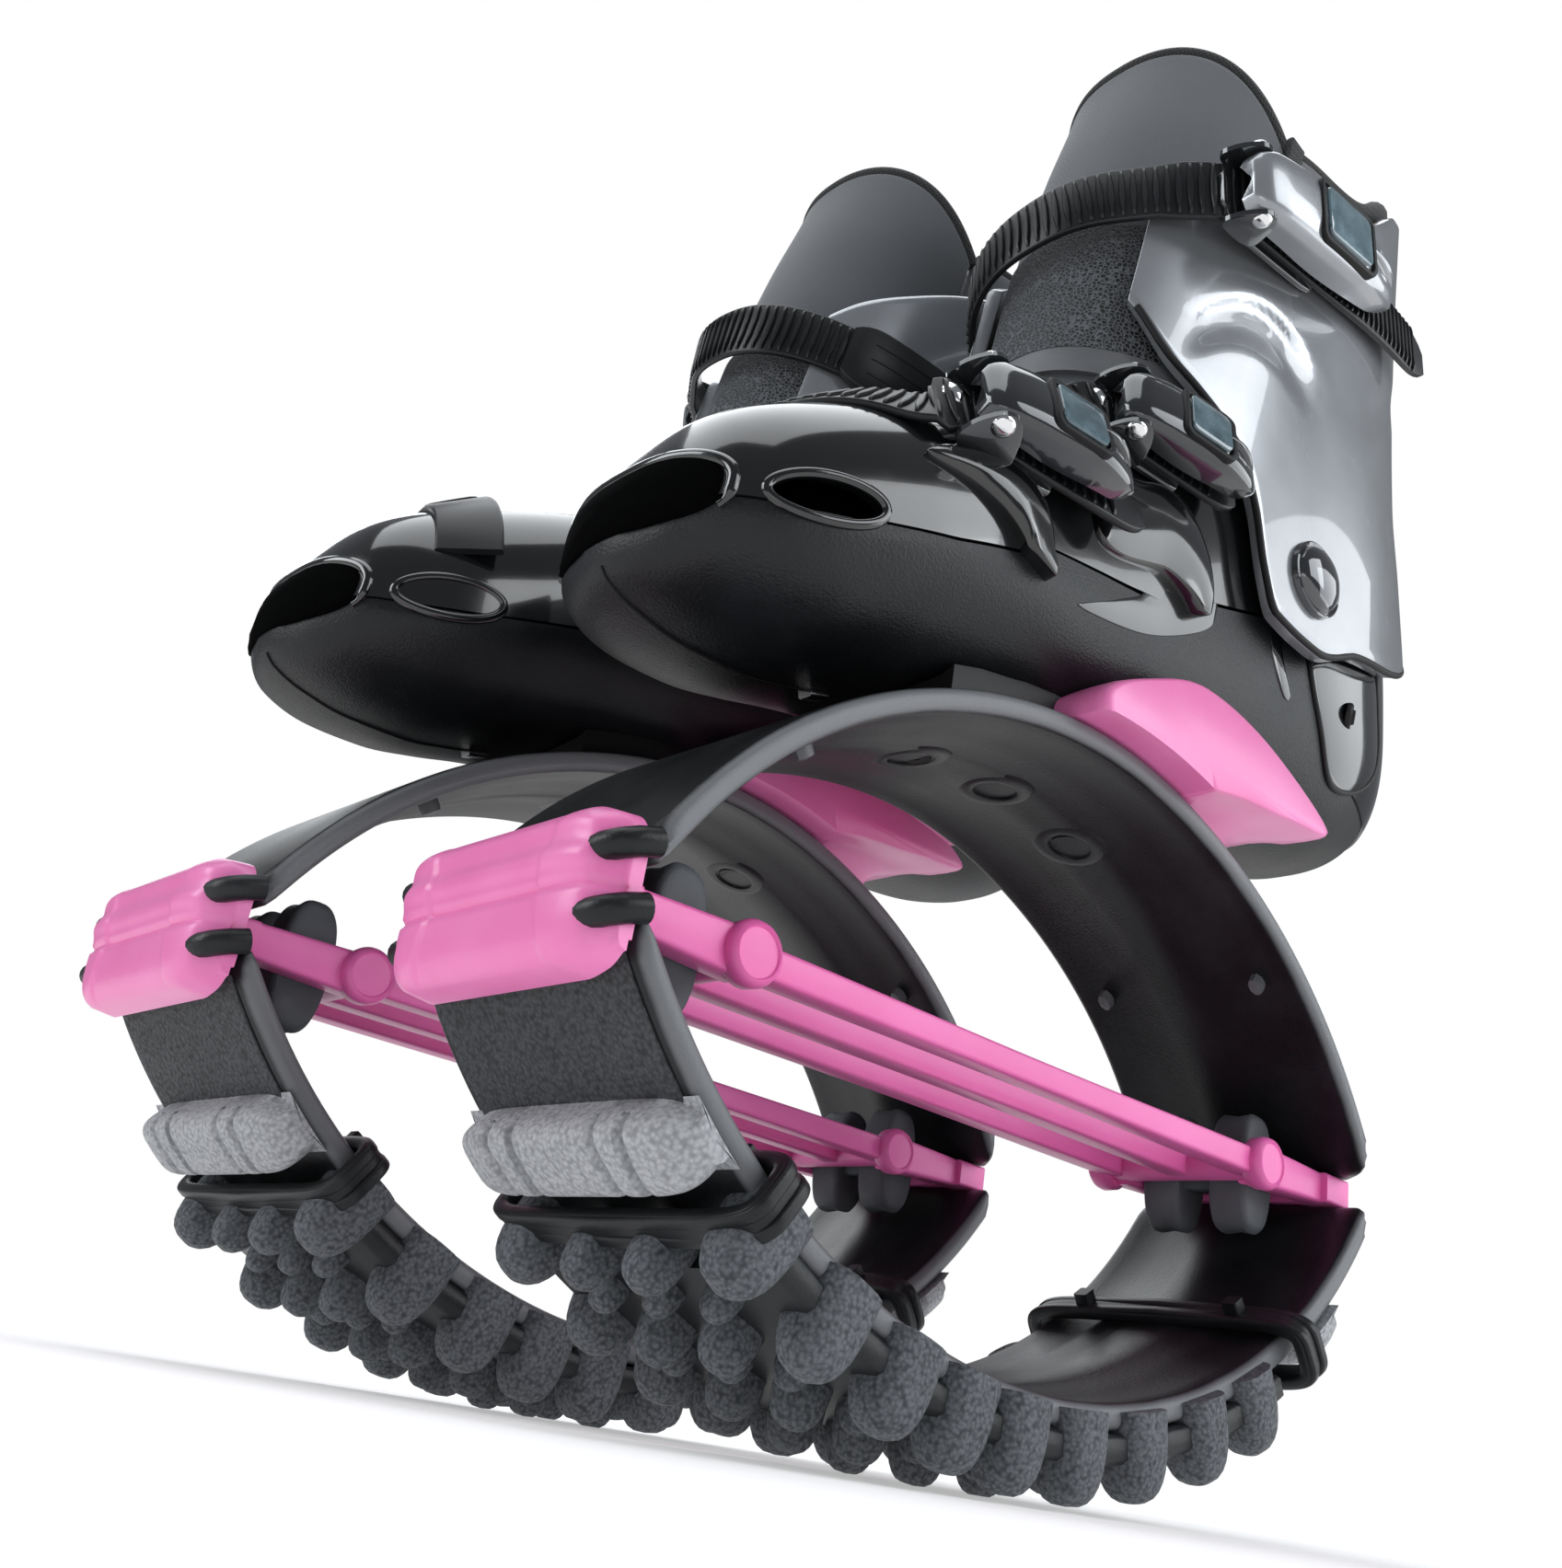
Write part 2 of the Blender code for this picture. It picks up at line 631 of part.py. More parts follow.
def station(share, inset):
    """Place, bottom, top, widest level and half width of the hull at a share."""
    for a, b in zip(hull_shares, hull_shares[1:]):
        if a[0] <= share <= b[0]:
            mix = (share - a[0]) / (b[0] - a[0])
            row = [p + (q - p) * mix for p, q in zip(a, b)]
            break
    squeeze = 1 - 2 * inset / boot_length
    x = toe_place + boot_length * (0.5 + (row[0] - 0.5) * squeeze)
    bottom, top, middle = (seat_z + hull_height * v for v in row[1:4])
    half = hull_half * row[4]
    low = max(middle - bottom - inset, (middle - bottom) * 0.25)
    high = max(top - middle - inset, (top - middle) * 0.25)
    return x, middle - low, middle + high, middle, max(half - inset, half * 0.25)


def hull_point(share, turn, lift=0.0):
    """A place on the hull: turn 0 is the far side, a quarter turn is the top."""
    x, bottom, top, middle, half = station(share, -lift)
    c, s = cos(turn), sin(turn)
    out = -half * (1 if c > 0 else -1) * abs(c) ** hull_square_share
    z = middle + ((top - middle) if s > 0 else (middle - bottom)) * (1 if s > 0 else -1) * abs(s) ** hull_square_share
    return x, out, z


def hull(boot, inset, rows=hull_shares):
    rings = []
    for row in rows:
        turns = [2 * pi * (k + 0.5) / hull_ring for k in range(hull_ring)]
        rings.append([boot.point(*hull_point(row[0], a, -inset)) for a in turns])
    return loft(rings)


def side_view(shares, lift=0.0):
    return [(toe_place + boot_length * a, seat_z + hull_height * b + lift) for a, b in shares]


def above(line):
    """The region over a side-view line, closed well above the boot."""
    roof = max(z for x, z in line) + hull_height * 2
    return line + [(line[-1][0], roof), (line[0][0], roof)]


def below(line):
    floor = min(z for x, z in line) - hull_height
    return line + [(line[-1][0], floor), (line[0][0], floor)]


def across_cut(boot, name, outline):
    reach = hull_half + cut_overrun
    return cutter(boot.node(name), prism(boot, outline, -reach, reach))


def shells(boot):
    """The rubbery lower shell and the glossy upper shell, parted by a line."""
    cavity = cutter(boot.node("cavity_cut"), hull(boot, shell_wall))
    lower = add(boot.node("lower_shell"), hull(boot, 0.0),
                material("shell_satin", (0.050, 0.053, 0.058), 0.55, 0.0))
    boolean(lower, cavity)
    boolean(lower, across_cut(boot, "parting_cut_above", above(side_view(parting_shares))))
    upper = add(boot.node("upper_shell"), hull(boot, 0.0),
                material("shell_gloss", (0.020, 0.021, 0.024), 0.12, 0.0))
    boolean(upper, cavity)
    boolean(upper, across_cut(boot, "parting_cut_below", below(side_view(parting_shares, parting_gap))))
    boolean(upper, across_cut(boot, "collar_cut", above(side_view(collar_shares))))
    slots = bmesh.new()
    x, out, z = hull_point(toe_slot_share, pi / 2)
    rise = hull_slope(toe_slot_share)
    slanted(boot, (x, toe_slot_wide * 0.08, z), rise, (toe_slot_long, toe_slot_wide, toe_slot_deep), slots)
    for side in (-1, 1):
        x, out, z = hull_point(vent_share, pi / 2 + side * vent_turn)
        start = boot.point(x, out, z)
        across = boot.point(x, out + side * vent_side, z + vent_side) - start
        disc(start - across * 0.5, across, vent_wide / 2, across.length, round_sides, slots)
    boolean(upper, cutter(boot.node("vent_cut"), slots))


def hull_slope(share):
    """Rise over run of the top of the hull near a share of its length."""
    x0, _, z0 = hull_point(share - 2 * nudge, pi / 2)
    x1, _, z1 = hull_point(share + 2 * nudge, pi / 2)
    return Vector((x1 - x0, z1 - z0)).normalized()


def slanted(boot, centre, run, sizes, bm):
    """A box laid along a slope of the side view."""
    long, wide, deep = (v / 2 for v in sizes)
    rise = Vector((-run.y, run.x))
    outline = []
    for a, b in ((-long, -deep), (long, -deep), (long, deep), (-long, deep)):
        outline.append((centre[0] + run.x * a + rise.x * b, centre[2] + run.y * a + rise.y * b))
    return prism(boot, outline, centre[1] - wide, centre[1] + wide, bm)


def seat(boot):
    """The studded plate on the crown of the arc and the pink saddle round it."""
    swollen = cutter(boot.node("hull_seat_cut"), hull(boot, -2 * gap))
    line = [tuple(p) for p in shifted(arc_line(True, lips=False), arc_wall + gap)]
    reach = hull_half + cut_overrun
    under = cutter(boot.node("arc_seat_cut"), prism(boot, below(line), -reach, reach))
    levels = [seat_z + hull_height * share for share in plate_levels]
    plate = add(boot.node("mount_plate"), block(boot, (-plate_front, plate_rear), (-plate_half, plate_half), levels),
                material("clamp_plastic", (0.045, 0.047, 0.052), 0.50, 0.0))
    saddle = add(boot.node("heel_saddle"), prism(boot, side_view(saddle_shares), -saddle_half, saddle_half),
                 material("pink_shell", (0.940, 0.360, 0.690), 0.34, 0.0))
    for piece in (plate, saddle):
        boolean(piece, swollen)
        boolean(piece, under)
    room = block(boot, (-plate_front - cut_overrun, plate_rear + gap), (-plate_half - gap, plate_half + gap),
                 (levels[0] - cut_overrun, levels[1] + cut_overrun))
    boolean(saddle, cutter(boot.node("plate_room"), room))
    boolean(plate, cutter(boot.node("studs"), studs(boot)), "UNION")


def studs(boot):
    """Three studs through the crown, with a hexagon socket in each lower end."""
    bm = bmesh.new()
    inner = arc_line(True, lips=False)
    for place in (-bolt_spacing, 0.0, bolt_spacing):
        low = level_point(inner, place)[0].y - rib_depth + bolt_recess
        high = low + arc_wall + rib_depth + bolt_socket
        rings = []
        for level, size, hexagonal in (
            (high, bolt_radius, False), (low, bolt_radius, False),
            (low, bolt_radius * socket_shares[0], True), (low + bolt_socket, bolt_radius * socket_shares[1], True),
        ):
            ring = []
            for k in range(bolt_sides):
                turn = 2 * pi * k / bolt_sides
                reach = size * cos(pi / 6) / cos((turn % (pi / 3)) - pi / 6) if hexagonal else size
                ring.append(boot.point(place + reach * cos(turn), reach * sin(turn), level))
            rings.append(ring)
        loft(rings, bm)
    return bm


def shaft_ring(shares, share, inset):
    """One level ring of the shaft, from the front round by the out side."""
    for a, b in zip(shares, shares[1:]):
        if a[0] <= share <= b[0] or b is shares[-1]:
            mix = (share - a[0]) / (b[0] - a[0])
            row = [p + (q - p) * mix for p, q in zip(a, b)]
            break
    front = shaft_place + shaft_depth * row[1] + inset
    back = shaft_place + shaft_depth * row[2] - inset
    half = shaft_half * row[3] - inset
    return (front + back) / 2, (back - front) / 2, half, shaft_base + shaft_height * share


def shaft_point(shares, share, turn, inset=0.0):
    """A place on the shaft: turn 0 is the front, a quarter turn is the out side."""
    middle, deep, half, z = shaft_ring(shares, share, inset)
    c, s = cos(turn), sin(turn)
    x = middle - deep * (1 if c > 0 else -1) * abs(c) ** shaft_square_share
    return x, half * (1 if s > 0 else -1) * abs(s) ** shaft_square_share, z


def shaft(boot, shares, inset, low=0.0, high=1.0):
    levels = [low] + [row[0] for row in shares if low < row[0] < high] + [high]
    rings = []
    for share in levels:
        turns = [2 * pi * (k + 0.5) / shaft_ring_points for k in range(shaft_ring_points)]
        rings.append([boot.point(*shaft_point(shares, share, a, inset)) for a in turns])
    return loft(rings)


def liner(boot):
    """The soft inner boot: a padded foot and shaft with an open throat."""
    soft = material("liner_cloth", (0.150, 0.150, 0.160), 0.75, 0.0)
    inset = shell_wall + 4 * gap
    top = (liner_top - shaft_base) / shaft_height
    body = add(boot.node("liner"), shaft(boot, liner_shares, 0.0, 0.0, top), soft)
    rim = side_view(collar_shares, gap)
    boolean(body, across_cut(boot, "liner_rim_cut", below(rim)), solver=CLOSED)
    boolean(body, across_cut(boot, "liner_top_cut", above(collar_line())), solver=CLOSED)
    foot = cutter(boot.node("liner_foot"), hull(boot, inset))
    boolean(foot, across_cut(boot, "liner_foot_top", above(side_view(collar_shares, liner_lap))), solver=CLOSED)
    boolean(body, foot, "UNION", CLOSED)
    boolean(body, cutter(boot.node("liner_foot_cut"), hull(boot, inset + liner_wall, hull_shares[::2])), solver=CLOSED)
    boolean(body, cutter(boot.node("liner_shaft_cut"), shaft(boot, liner_shares, liner_wall, -0.02, 1.1)), solver=CLOSED)
    low = (throat_low - shaft_base) / shaft_height
    edge = []
    for k in range(throat_steps + 1):
        level = low + (1 - low) * k / throat_steps
        edge.append(shaft_point(liner_shares, level, tongue_turn, liner_wall))
    outline = [(x + 2 * tongue_gap, z) for x, out, z in edge]
    front = shaft_place - shaft_depth
    throat = prism(boot, outline + [(front, outline[-1][1]), (front, throat_low)], -shaft_half * 2, shaft_half * 2)
    boolean(body, cutter(boot.node("throat_cut"), throat), solver=CLOSED)
    bed = add(boot.node("footbed"), prism(boot, bed_outline(), -bed_half, bed_half),
              material("footbed_foam", (0.120, 0.120, 0.130), 0.85, 0.0))
    boolean(bed, cutter(boot.node("footbed_trim"), hull(boot, inset + liner_wall + 4 * gap, hull_shares[::2])), "INTERSECT")


def collar_line():
    """The top edge of the liner, side view: it rises to the heel."""
    return [(shaft_place + shaft_depth * a, shaft_base + shaft_height * b) for a, b in liner_top_shares]


def bed_outline():
    """Footbed, side view: level under the heel, then down to the toes."""
    top = side_view(bed_shares)
    return top + [(x, z - bed_thickness) for x, z in reversed(top)]


def tongue(boot):
    """The padded tongue: a broad bent plate round the front of the shaft."""
    rings = []
    rim = side_view(collar_shares)
    for i in range(tongue_steps + 1):
        side = 2 * i / tongue_steps - 1
        turn = tongue_turn * side
        x = shaft_point(liner_shares, tongue_rim_share, turn)[0]
        low = (max(throat_low, level_point(rim, x)[0].y + tongue_foot) + tongue_gap - shaft_base) / shaft_height
        high = (tongue_top - tongue_drop * abs(side) ** 2.5 - shaft_base) / shaft_height
        levels = [low + (high - low) * k / tongue_levels for k in range(tongue_levels + 1)]
        outer = [boot.point(*shaft_point(liner_shares, level, turn)) for level in levels]
        inner = [boot.point(*shaft_point(liner_shares, level, turn, liner_wall)) for level in levels]
        rings.append(outer + inner[::-1])
    add(boot.node("tongue"), loft(rings), material("liner_cloth", (0.150, 0.150, 0.160), 0.75, 0.0))


def cuff(boot):
    """The pivoting cuff, a bent plate open at the front, and its rivet."""
    pivot = boot.point(cuff_pivot_x, 0.0, cuff_pivot_z)
    plate = add(boot.node("cuff"), shaft(boot, cuff_shares, -cuff_wall),
                material("cuff_gloss", (0.300, 0.305, 0.315), 0.10, 0.3), pivot)
    boolean(plate, cutter(boot.node("cuff_hollow"), shaft(boot, cuff_shares, 0.0, -0.02, 1.02)), solver=CLOSED)
    reach = shaft_half * 1.2 + cut_overrun
    outline = [(shaft_place + shaft_depth * a, shaft_base + shaft_height * b) for a, b in cuff_outline_shares]
    boolean(plate, cutter(boot.node("cuff_outline"), prism(boot, outline, -reach, reach)), "INTERSECT", CLOSED)
    front = block(boot, (shaft_place - shaft_depth, shaft_place - shaft_depth * 0.25),
                  (-cuff_mouth_half, cuff_mouth_half), (shaft_base, shaft_base + shaft_height * 1.1))
    boolean(plate, cutter(boot.node("cuff_mouth_cut"), front), solver=CLOSED)
    share = (cuff_pivot_z - shaft_base) / shaft_height
    surface = shaft_point(cuff_shares, share, pi / 2, -cuff_wall)[1]
    start = boot.point(cuff_pivot_x, surface + gap, cuff_pivot_z)
    axis = boot.point(cuff_pivot_x, surface + gap + rivet_height, cuff_pivot_z) - start
    rivet = disc(start, axis, rivet_radius, rivet_height, rivet_sides, None, rivet_top_share)
    add(boot.node("cuff_rivet"), rivet, material("rivet_gloss", (0.110, 0.110, 0.120), 0.15, 0.6), pivot=pivot)


class Frame:
    """A buckle's own directions: along the strap, across it and outwards."""

    def __init__(self, origin, along, outward):
        self.origin = origin
        self.outward = outward.normalized()
        self.along = (along - self.outward * along.dot(self.outward)).normalized()
        self.across = self.outward.cross(self.along)

    def at(self, u, v, n):
        return self.origin + self.along * u + self.across * v + self.outward * n


def plate_solid(frame, outline, v_low, v_high, bm=None):
    """An outline in the along and outward directions, pushed across."""
    return loft([[frame.at(u, v, n) for u, n in outline] for v in (v_low, v_high)], bm)


def buckle(boot, name, frame, scale_share, seated_on):
    """Base with ears and pin heads, lever on its barrel, and release tab."""
    dark = material("buckle_plastic", (0.030, 0.031, 0.035), 0.22, 0.0)
    length = buckle_length * scale_share
    half = buckle_width / 2
    pivot_u = -length / 2 + barrel_radius * 1.6
    pivot_n = base_floor + strap_wall + tooth + barrel_radius + 3 * gap
    ear_end = pivot_u + barrel_radius * 2.4
    ear_top = pivot_n + barrel_radius
    floor_end = length * base_reach_share
    floor = [(-length / 2, 0.0), (floor_end, 0.0), (floor_end, base_floor), (-length / 2, base_floor)]
    base = add(boot.node(name + "_buckle_base"), plate_solid(frame, floor, -half, half), dark)
    ears = bmesh.new()
    ear = [(-length / 2, 0.0), (ear_end, 0.0), (pivot_u + barrel_radius, ear_top), (-length / 2, ear_top)]
    for low in (-half, half - ear_wall):
        plate_solid(frame, ear, low, low + ear_wall, ears)
    boolean(base, cutter(boot.node(name + "_ears"), ears), "UNION", CLOSED)
    heads = bmesh.new()
    for side in (-1, 1):
        start = frame.at(pivot_u, side * (half - ear_wall / 2), pivot_n)
        disc(start, frame.across * side, pin_head_radius, pin_head + ear_wall / 2, round_sides, heads, pin_top_share)
    boolean(base, cutter(boot.node(name + "_pin_heads"), heads), "UNION", CLOSED)
    if seated_on:
        foot = disc(frame.at(0.0, 0.0, base_floor / 2), -frame.outward, base_foot_radius, base_foot, round_sides)
        boolean(base, cutter(boot.node(name + "_base_foot"), foot), "UNION", CLOSED)
        boolean(base, seated_on, solver=CLOSED)
    inner = half - ear_wall - gap
    top, under = [], []
    for along_share, rise_share in lever_shares:
        u = pivot_u + (length - barrel_radius) * along_share
        n = pivot_n + rise_share * barrel_radius * 2
        top.append((u, n + lever_wall / 2))
        under.append((u, n - lever_wall / 2))
    outline = []
    for k in range(barrel_steps + 1):
        turn = pi / 2 + pi * k / barrel_steps
        outline.append((pivot_u + barrel_radius * cos(turn), pivot_n + barrel_radius * sin(turn)))
    outline += under[1:] + top[:0:-1]
    pivot = frame.at(pivot_u, 0.0, pivot_n)
    add(boot.node(name + "_buckle_lever"), plate_solid(frame, outline, -inner, inner), dark, pivot)
    a, b = Vector(top[1]), Vector(top[2])
    run = (b - a).normalized()
    rise = Vector((-run.y, run.x))
    a, b = a + rise * gap, b + rise * gap
    outline = [tuple(a), tuple(b), tuple(b + rise * tab_wall * 0.7), tuple(a + rise * tab_wall)]
    tab = plate_solid(frame, outline, -inner * tab_width_share, inner * tab_width_share)
    spot = b + rise * tab_wall / 2
    hinge = frame.at(spot.x, 0.0, spot.y)
    add(boot.node(name + "_release_tab"), tab, material("tab_smoke", (0.130, 0.230, 0.270), 0.15, 0.0), hinge)


def band(boot, name, stops, width):
    """A ladder strap: a flat band along stops, with teeth on its outer side."""
    rings = []
    for index, (spot, outward) in enumerate(stops):
        before = stops[max(index - 1, 0)][0]
        after = stops[min(index + 1, len(stops) - 1)][0]
        run = (after - before).normalized()
        outward = (outward - run * outward.dot(run)).normalized()
        across = outward.cross(run)
        wall = strap_wall + (tooth if index % 2 else 0.0)
        half = width / 2
        rings.append([spot + across * v + outward * n for v, n in (
            (-half, 0.0), (half, 0.0), (half, strap_wall), (half * 0.8, wall), (-half * 0.8, wall),
            (-half, strap_wall))])
    add(boot.node(name + "_ladder_strap"), loft(rings), material("strap_plastic", (0.022, 0.023, 0.026), 0.30, 0.0))


def strap_set(boot, name, hug, frame, width, tail, scale_share, seated_on=None):
    """The strap hugs its stops, runs straight through the buckle and ends in a tail."""
    buckle(boot, name, frame, scale_share, seated_on)
    level = base_floor + gap
    length = buckle_length * scale_share
    stops = list(hug)
    run = length + tail + strap_lead
    count = int(run / tooth_pitch)
    for k in range(count + 1):
        u = -length / 2 - strap_lead + run * k / count
        stops.append((frame.at(u, 0.0, level), frame.outward))
    band(boot, name, stops, width)


def hull_frame(boot, share, turn, lean_share):
    """A buckle frame on the hull. The strap runs down the out side and back."""
    centre = boot.point(*hull_point(share, turn, buckle_lift))
    back = boot.point(*hull_point(share + nudge, turn, buckle_lift)) - centre
    down = boot.point(*hull_point(share, turn + nudge, buckle_lift)) - centre
    normal = back.cross(down) * boot.side
    return Frame(centre, down.normalized() + back.normalized() * lean_share, normal)


def hull_hug(boot, start, end, count):
    """Stops over the top of the hull, from the far side to the buckle."""
    stops = []
    for k in range(count):
        mix = k / (count - 1)
        share = start[0] + (end[0] - start[0]) * mix ** hug_bend
        turn = start[1] + (end[1] - start[1]) * mix
        spot = boot.point(*hull_point(share, turn, strap_lift))
        back = boot.point(*hull_point(share + nudge, turn, strap_lift)) - spot
        down = boot.point(*hull_point(share, turn + nudge, strap_lift)) - spot
        stops.append((spot, (back.cross(down) * boot.side).normalized()))
    return stops


def straps(boot):
    swollen = cutter(boot.node("buckle_seat_cut"), hull(boot, -2 * gap))
    for name, far, near, frame_at, lean, seated_on in (
        ("forefoot", *forefoot_shares, swollen), ("instep", *instep_shares, None),
    ):
        frame = hull_frame(boot, *frame_at, lean)
        hug = hull_hug(boot, far, near, hug_steps)
        strap_set(boot, name, hug, frame, strap_width, strap_tail, side_buckle_share, seated_on)
    stops = []
    for k in range(top_hug_steps):
        turn = top_strap_turns[0] + (top_strap_turns[1] - top_strap_turns[0]) * k / (top_hug_steps - 1)
        share = top_strap_share + top_strap_tilt_share * (turn - top_strap_turns[1])
        x, out, z = shaft_point(cuff_shares, share, turn, -cuff_wall - strap_lift)
        x2, out2, z2 = shaft_point(cuff_shares, share, turn + nudge, -cuff_wall - strap_lift)
        run = boot.point(x2, out2, z2) - boot.point(x, out, z)
        outward = UP.cross(run) * boot.side
        stops.append((boot.point(x, out, z), outward.normalized()))
    frame = top_frame(boot)
    strap_set(boot, "top", stops, frame, top_strap_width, top_strap_tail, top_buckle_share)


def top_frame(boot):
    """The top buckle lies flat outside the widest part of the cuff."""
    tail_share = (top_buckle_z + top_strap_tail * top_strap_rise - shaft_base) / shaft_height
    out = shaft_ring(cuff_shares, tail_share, -cuff_wall - buckle_lift)[2]
    return Frame(boot.point(top_buckle_x, out, top_buckle_z), Vector((1.0, 0.0, top_strap_rise)),
                 Vector((0.0, boot.side, 0.0)))


for boot in (Boot("left", -1, pair_shift), Boot("right", 1, pair_shift - right_ahead)):
    arc(boot, True)
    arc(boot, False)
    tread(boot)
    clamps(boot)
    tension_spring(boot)
    bumpers(boot)
    front_cap(boot)
    seat(boot)
    shells(boot)
    liner(boot)
    tongue(boot)
    cuff(boot)
    straps(boot)
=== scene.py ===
# %% [markdown]
# # A pair of rebound boots
# Two hard-shell boots stand on springy ovals. Each oval is two bowed arcs that are tied
# at the middle by pink elastic bars, and a lugged rubber tread runs round its lower half.
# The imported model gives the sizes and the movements. This lesson dresses it: every piece
# is built once for the left boot, then mirrored and moved to make the right one.

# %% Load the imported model
import json
import bpy
import bmesh
import numpy as np
from contextlib import contextmanager
from math import pi, sin, cos, radians
from mathutils import Vector, Matrix
from mathutils.bvhtree import BVHTree


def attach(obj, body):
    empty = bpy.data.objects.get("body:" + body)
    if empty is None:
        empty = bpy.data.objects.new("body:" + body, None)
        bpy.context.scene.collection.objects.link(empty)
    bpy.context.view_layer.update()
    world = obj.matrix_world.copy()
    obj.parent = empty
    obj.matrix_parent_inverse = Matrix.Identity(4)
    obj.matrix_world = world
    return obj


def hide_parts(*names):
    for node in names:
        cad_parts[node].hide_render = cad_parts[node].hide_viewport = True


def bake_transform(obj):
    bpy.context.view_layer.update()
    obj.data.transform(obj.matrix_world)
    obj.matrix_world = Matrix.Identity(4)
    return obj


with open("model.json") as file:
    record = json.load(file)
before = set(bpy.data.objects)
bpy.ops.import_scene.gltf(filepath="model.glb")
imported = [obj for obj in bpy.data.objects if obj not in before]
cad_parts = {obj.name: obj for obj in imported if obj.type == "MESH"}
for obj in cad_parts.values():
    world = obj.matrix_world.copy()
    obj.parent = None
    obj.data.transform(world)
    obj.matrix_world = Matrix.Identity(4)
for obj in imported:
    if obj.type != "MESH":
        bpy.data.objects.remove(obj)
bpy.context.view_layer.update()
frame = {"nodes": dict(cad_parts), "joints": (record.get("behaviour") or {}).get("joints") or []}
scene = bpy.context.scene


def placed(name, data):
    """A new object in the scene, at the origin."""
    thing = bpy.data.objects.new(name, data)
    scene.collection.objects.link(thing)
    return thing


# %% [markdown]
# ## The camera
# The picture was taken low and close, from beyond the toe of the near boot, with a slight
# roll. A camera's matrix holds its right, up and backward directions, so the three
# measured directions go straight into it.

# %% Camera
camera_place = Vector((-0.2936, -0.32255, 0.0058))
camera_right = Vector((0.72336, -0.67363, 0.15157))
camera_down = Vector((0.36421, 0.18576, -0.91260))
camera_ahead = Vector((0.58660, 0.71534, 0.37971))
lens = bpy.data.cameras.new("camera")
lens.lens = 35.915
lens.sensor_width = 36
lens.clip_start = 0.01
camera = placed("camera", lens)
turned = Matrix((camera_right, -camera_down, -camera_ahead)).transposed().to_4x4()
camera.matrix_world = Matrix.Translation(camera_place) @ turned
scene.camera = camera
print("camera height", round(camera_place.z, 4))

# %% [markdown]
# ## Sizes
# All lengths are metres. A boot is described in its own directions: x runs from toe to
# heel, "out" runs from the middle of the boot to its buckle side, z is up. The numbers
# below are the ones that the solids were built from.

# %% Sizes
half_apart = 0.05875
left_along = -0.0031
right_ahead = 0.0240
arc_half = 0.130
arc_width = 0.076
arc_wall = 0.006
hinge_height = 0.094
mouth_z = 0.0985
floor_lip_z = 0.0895
crown_z = mouth_z + 0.0767 + arc_wall
seat_z = crown_z + 0.0003
toe_place = -0.136
boot_length = 0.312
hull_height = 0.130
hull_half = 0.048
shaft_base = 0.235
shaft_height = 0.250
shaft_depth = 0.165
shaft_half = 0.044
shaft_place = 0.080
cuff_wall = 0.004
ankle_height = 0.263
bolt_spacing = 0.0335
lip_length = 0.008

# Pieces that bend lie between two bodies: the first, the second, and the two heights
crown_bend = ("spring", "boot", mouth_z, 0.181)
tread_bend = ("sole", "spring", 0.016, floor_lip_z)
leg_bend = ("boot", "cuff", ankle_height, 0.36)


def at(x, out, z):
    """Points of the left boot, from its own directions to the shared frame."""
    x, out, z = np.broadcast_arrays(x, out, z)
    return np.stack([x + left_along, -(half_apart + out), z], -1)


def signed(x, power):
    """A power that keeps the sign. It squares off a cosine or a sine."""
    return np.sign(x) * np.abs(x) ** power


def pairs(a, b):
    """Two columns from two rows of numbers. Either may be one number."""
    return np.stack(np.broadcast_arrays(a, b), -1)


def unit(rows):
    """Directions made one long."""
    return rows / np.linalg.norm(rows, axis=-1, keepdims=True)


def full_turn(count):
    """Even angles once round."""
    return np.arange(count) * 2 * pi / count


# %% [markdown]
# ## Smooth tables
# A body such as a boot hull is easiest to describe by a few stations with a width and a
# height at each. A cubic curve through the rows, held level at its peaks, gives a smooth
# surface that never swings past a row.

# %% Curves through tables
def through(table, places):
    table = np.asarray(table, float)
    x, y = table[:, 0], table[:, 1:]
    places = np.clip(np.asarray(places, float), x[0], x[-1])
    step = np.diff(x)
    rise = np.diff(y, axis=0) / step[:, None]
    lean = np.empty_like(y)
    lean[0], lean[-1] = rise[0], rise[-1]
    before, after = rise[:-1], rise[1:]
    together = before * after > 0
    lean[1:-1] = np.where(together, 2 * before * after / np.where(together, before + after, 1.0), 0.0)
    k = np.clip(np.searchsorted(x, places) - 1, 0, len(x) - 2)
    s = ((places - x[k]) / step[k])[..., None]
    h = step[k][..., None]
    return ((2 * s**3 - 3 * s**2 + 1) * y[k] + (s**3 - 2 * s**2 + s) * h * lean[k]
            + (3 * s**2 - 2 * s**3) * y[k + 1] + (s**3 - s**2) * h * lean[k + 1])


def value(table, places):
    return through(table, places)[..., 0]


def soft(low, high, x):
    """0 before low, 1 after high, smooth between."""
    t = np.clip((x - low) / (high - low), 0, 1)
    return t * t * (3 - 2 * t)


def bump(middle, half, x):
    """A smooth hump of height 1 round a middle."""
    return 1 - soft(0, 1, np.abs((x - middle) / half))


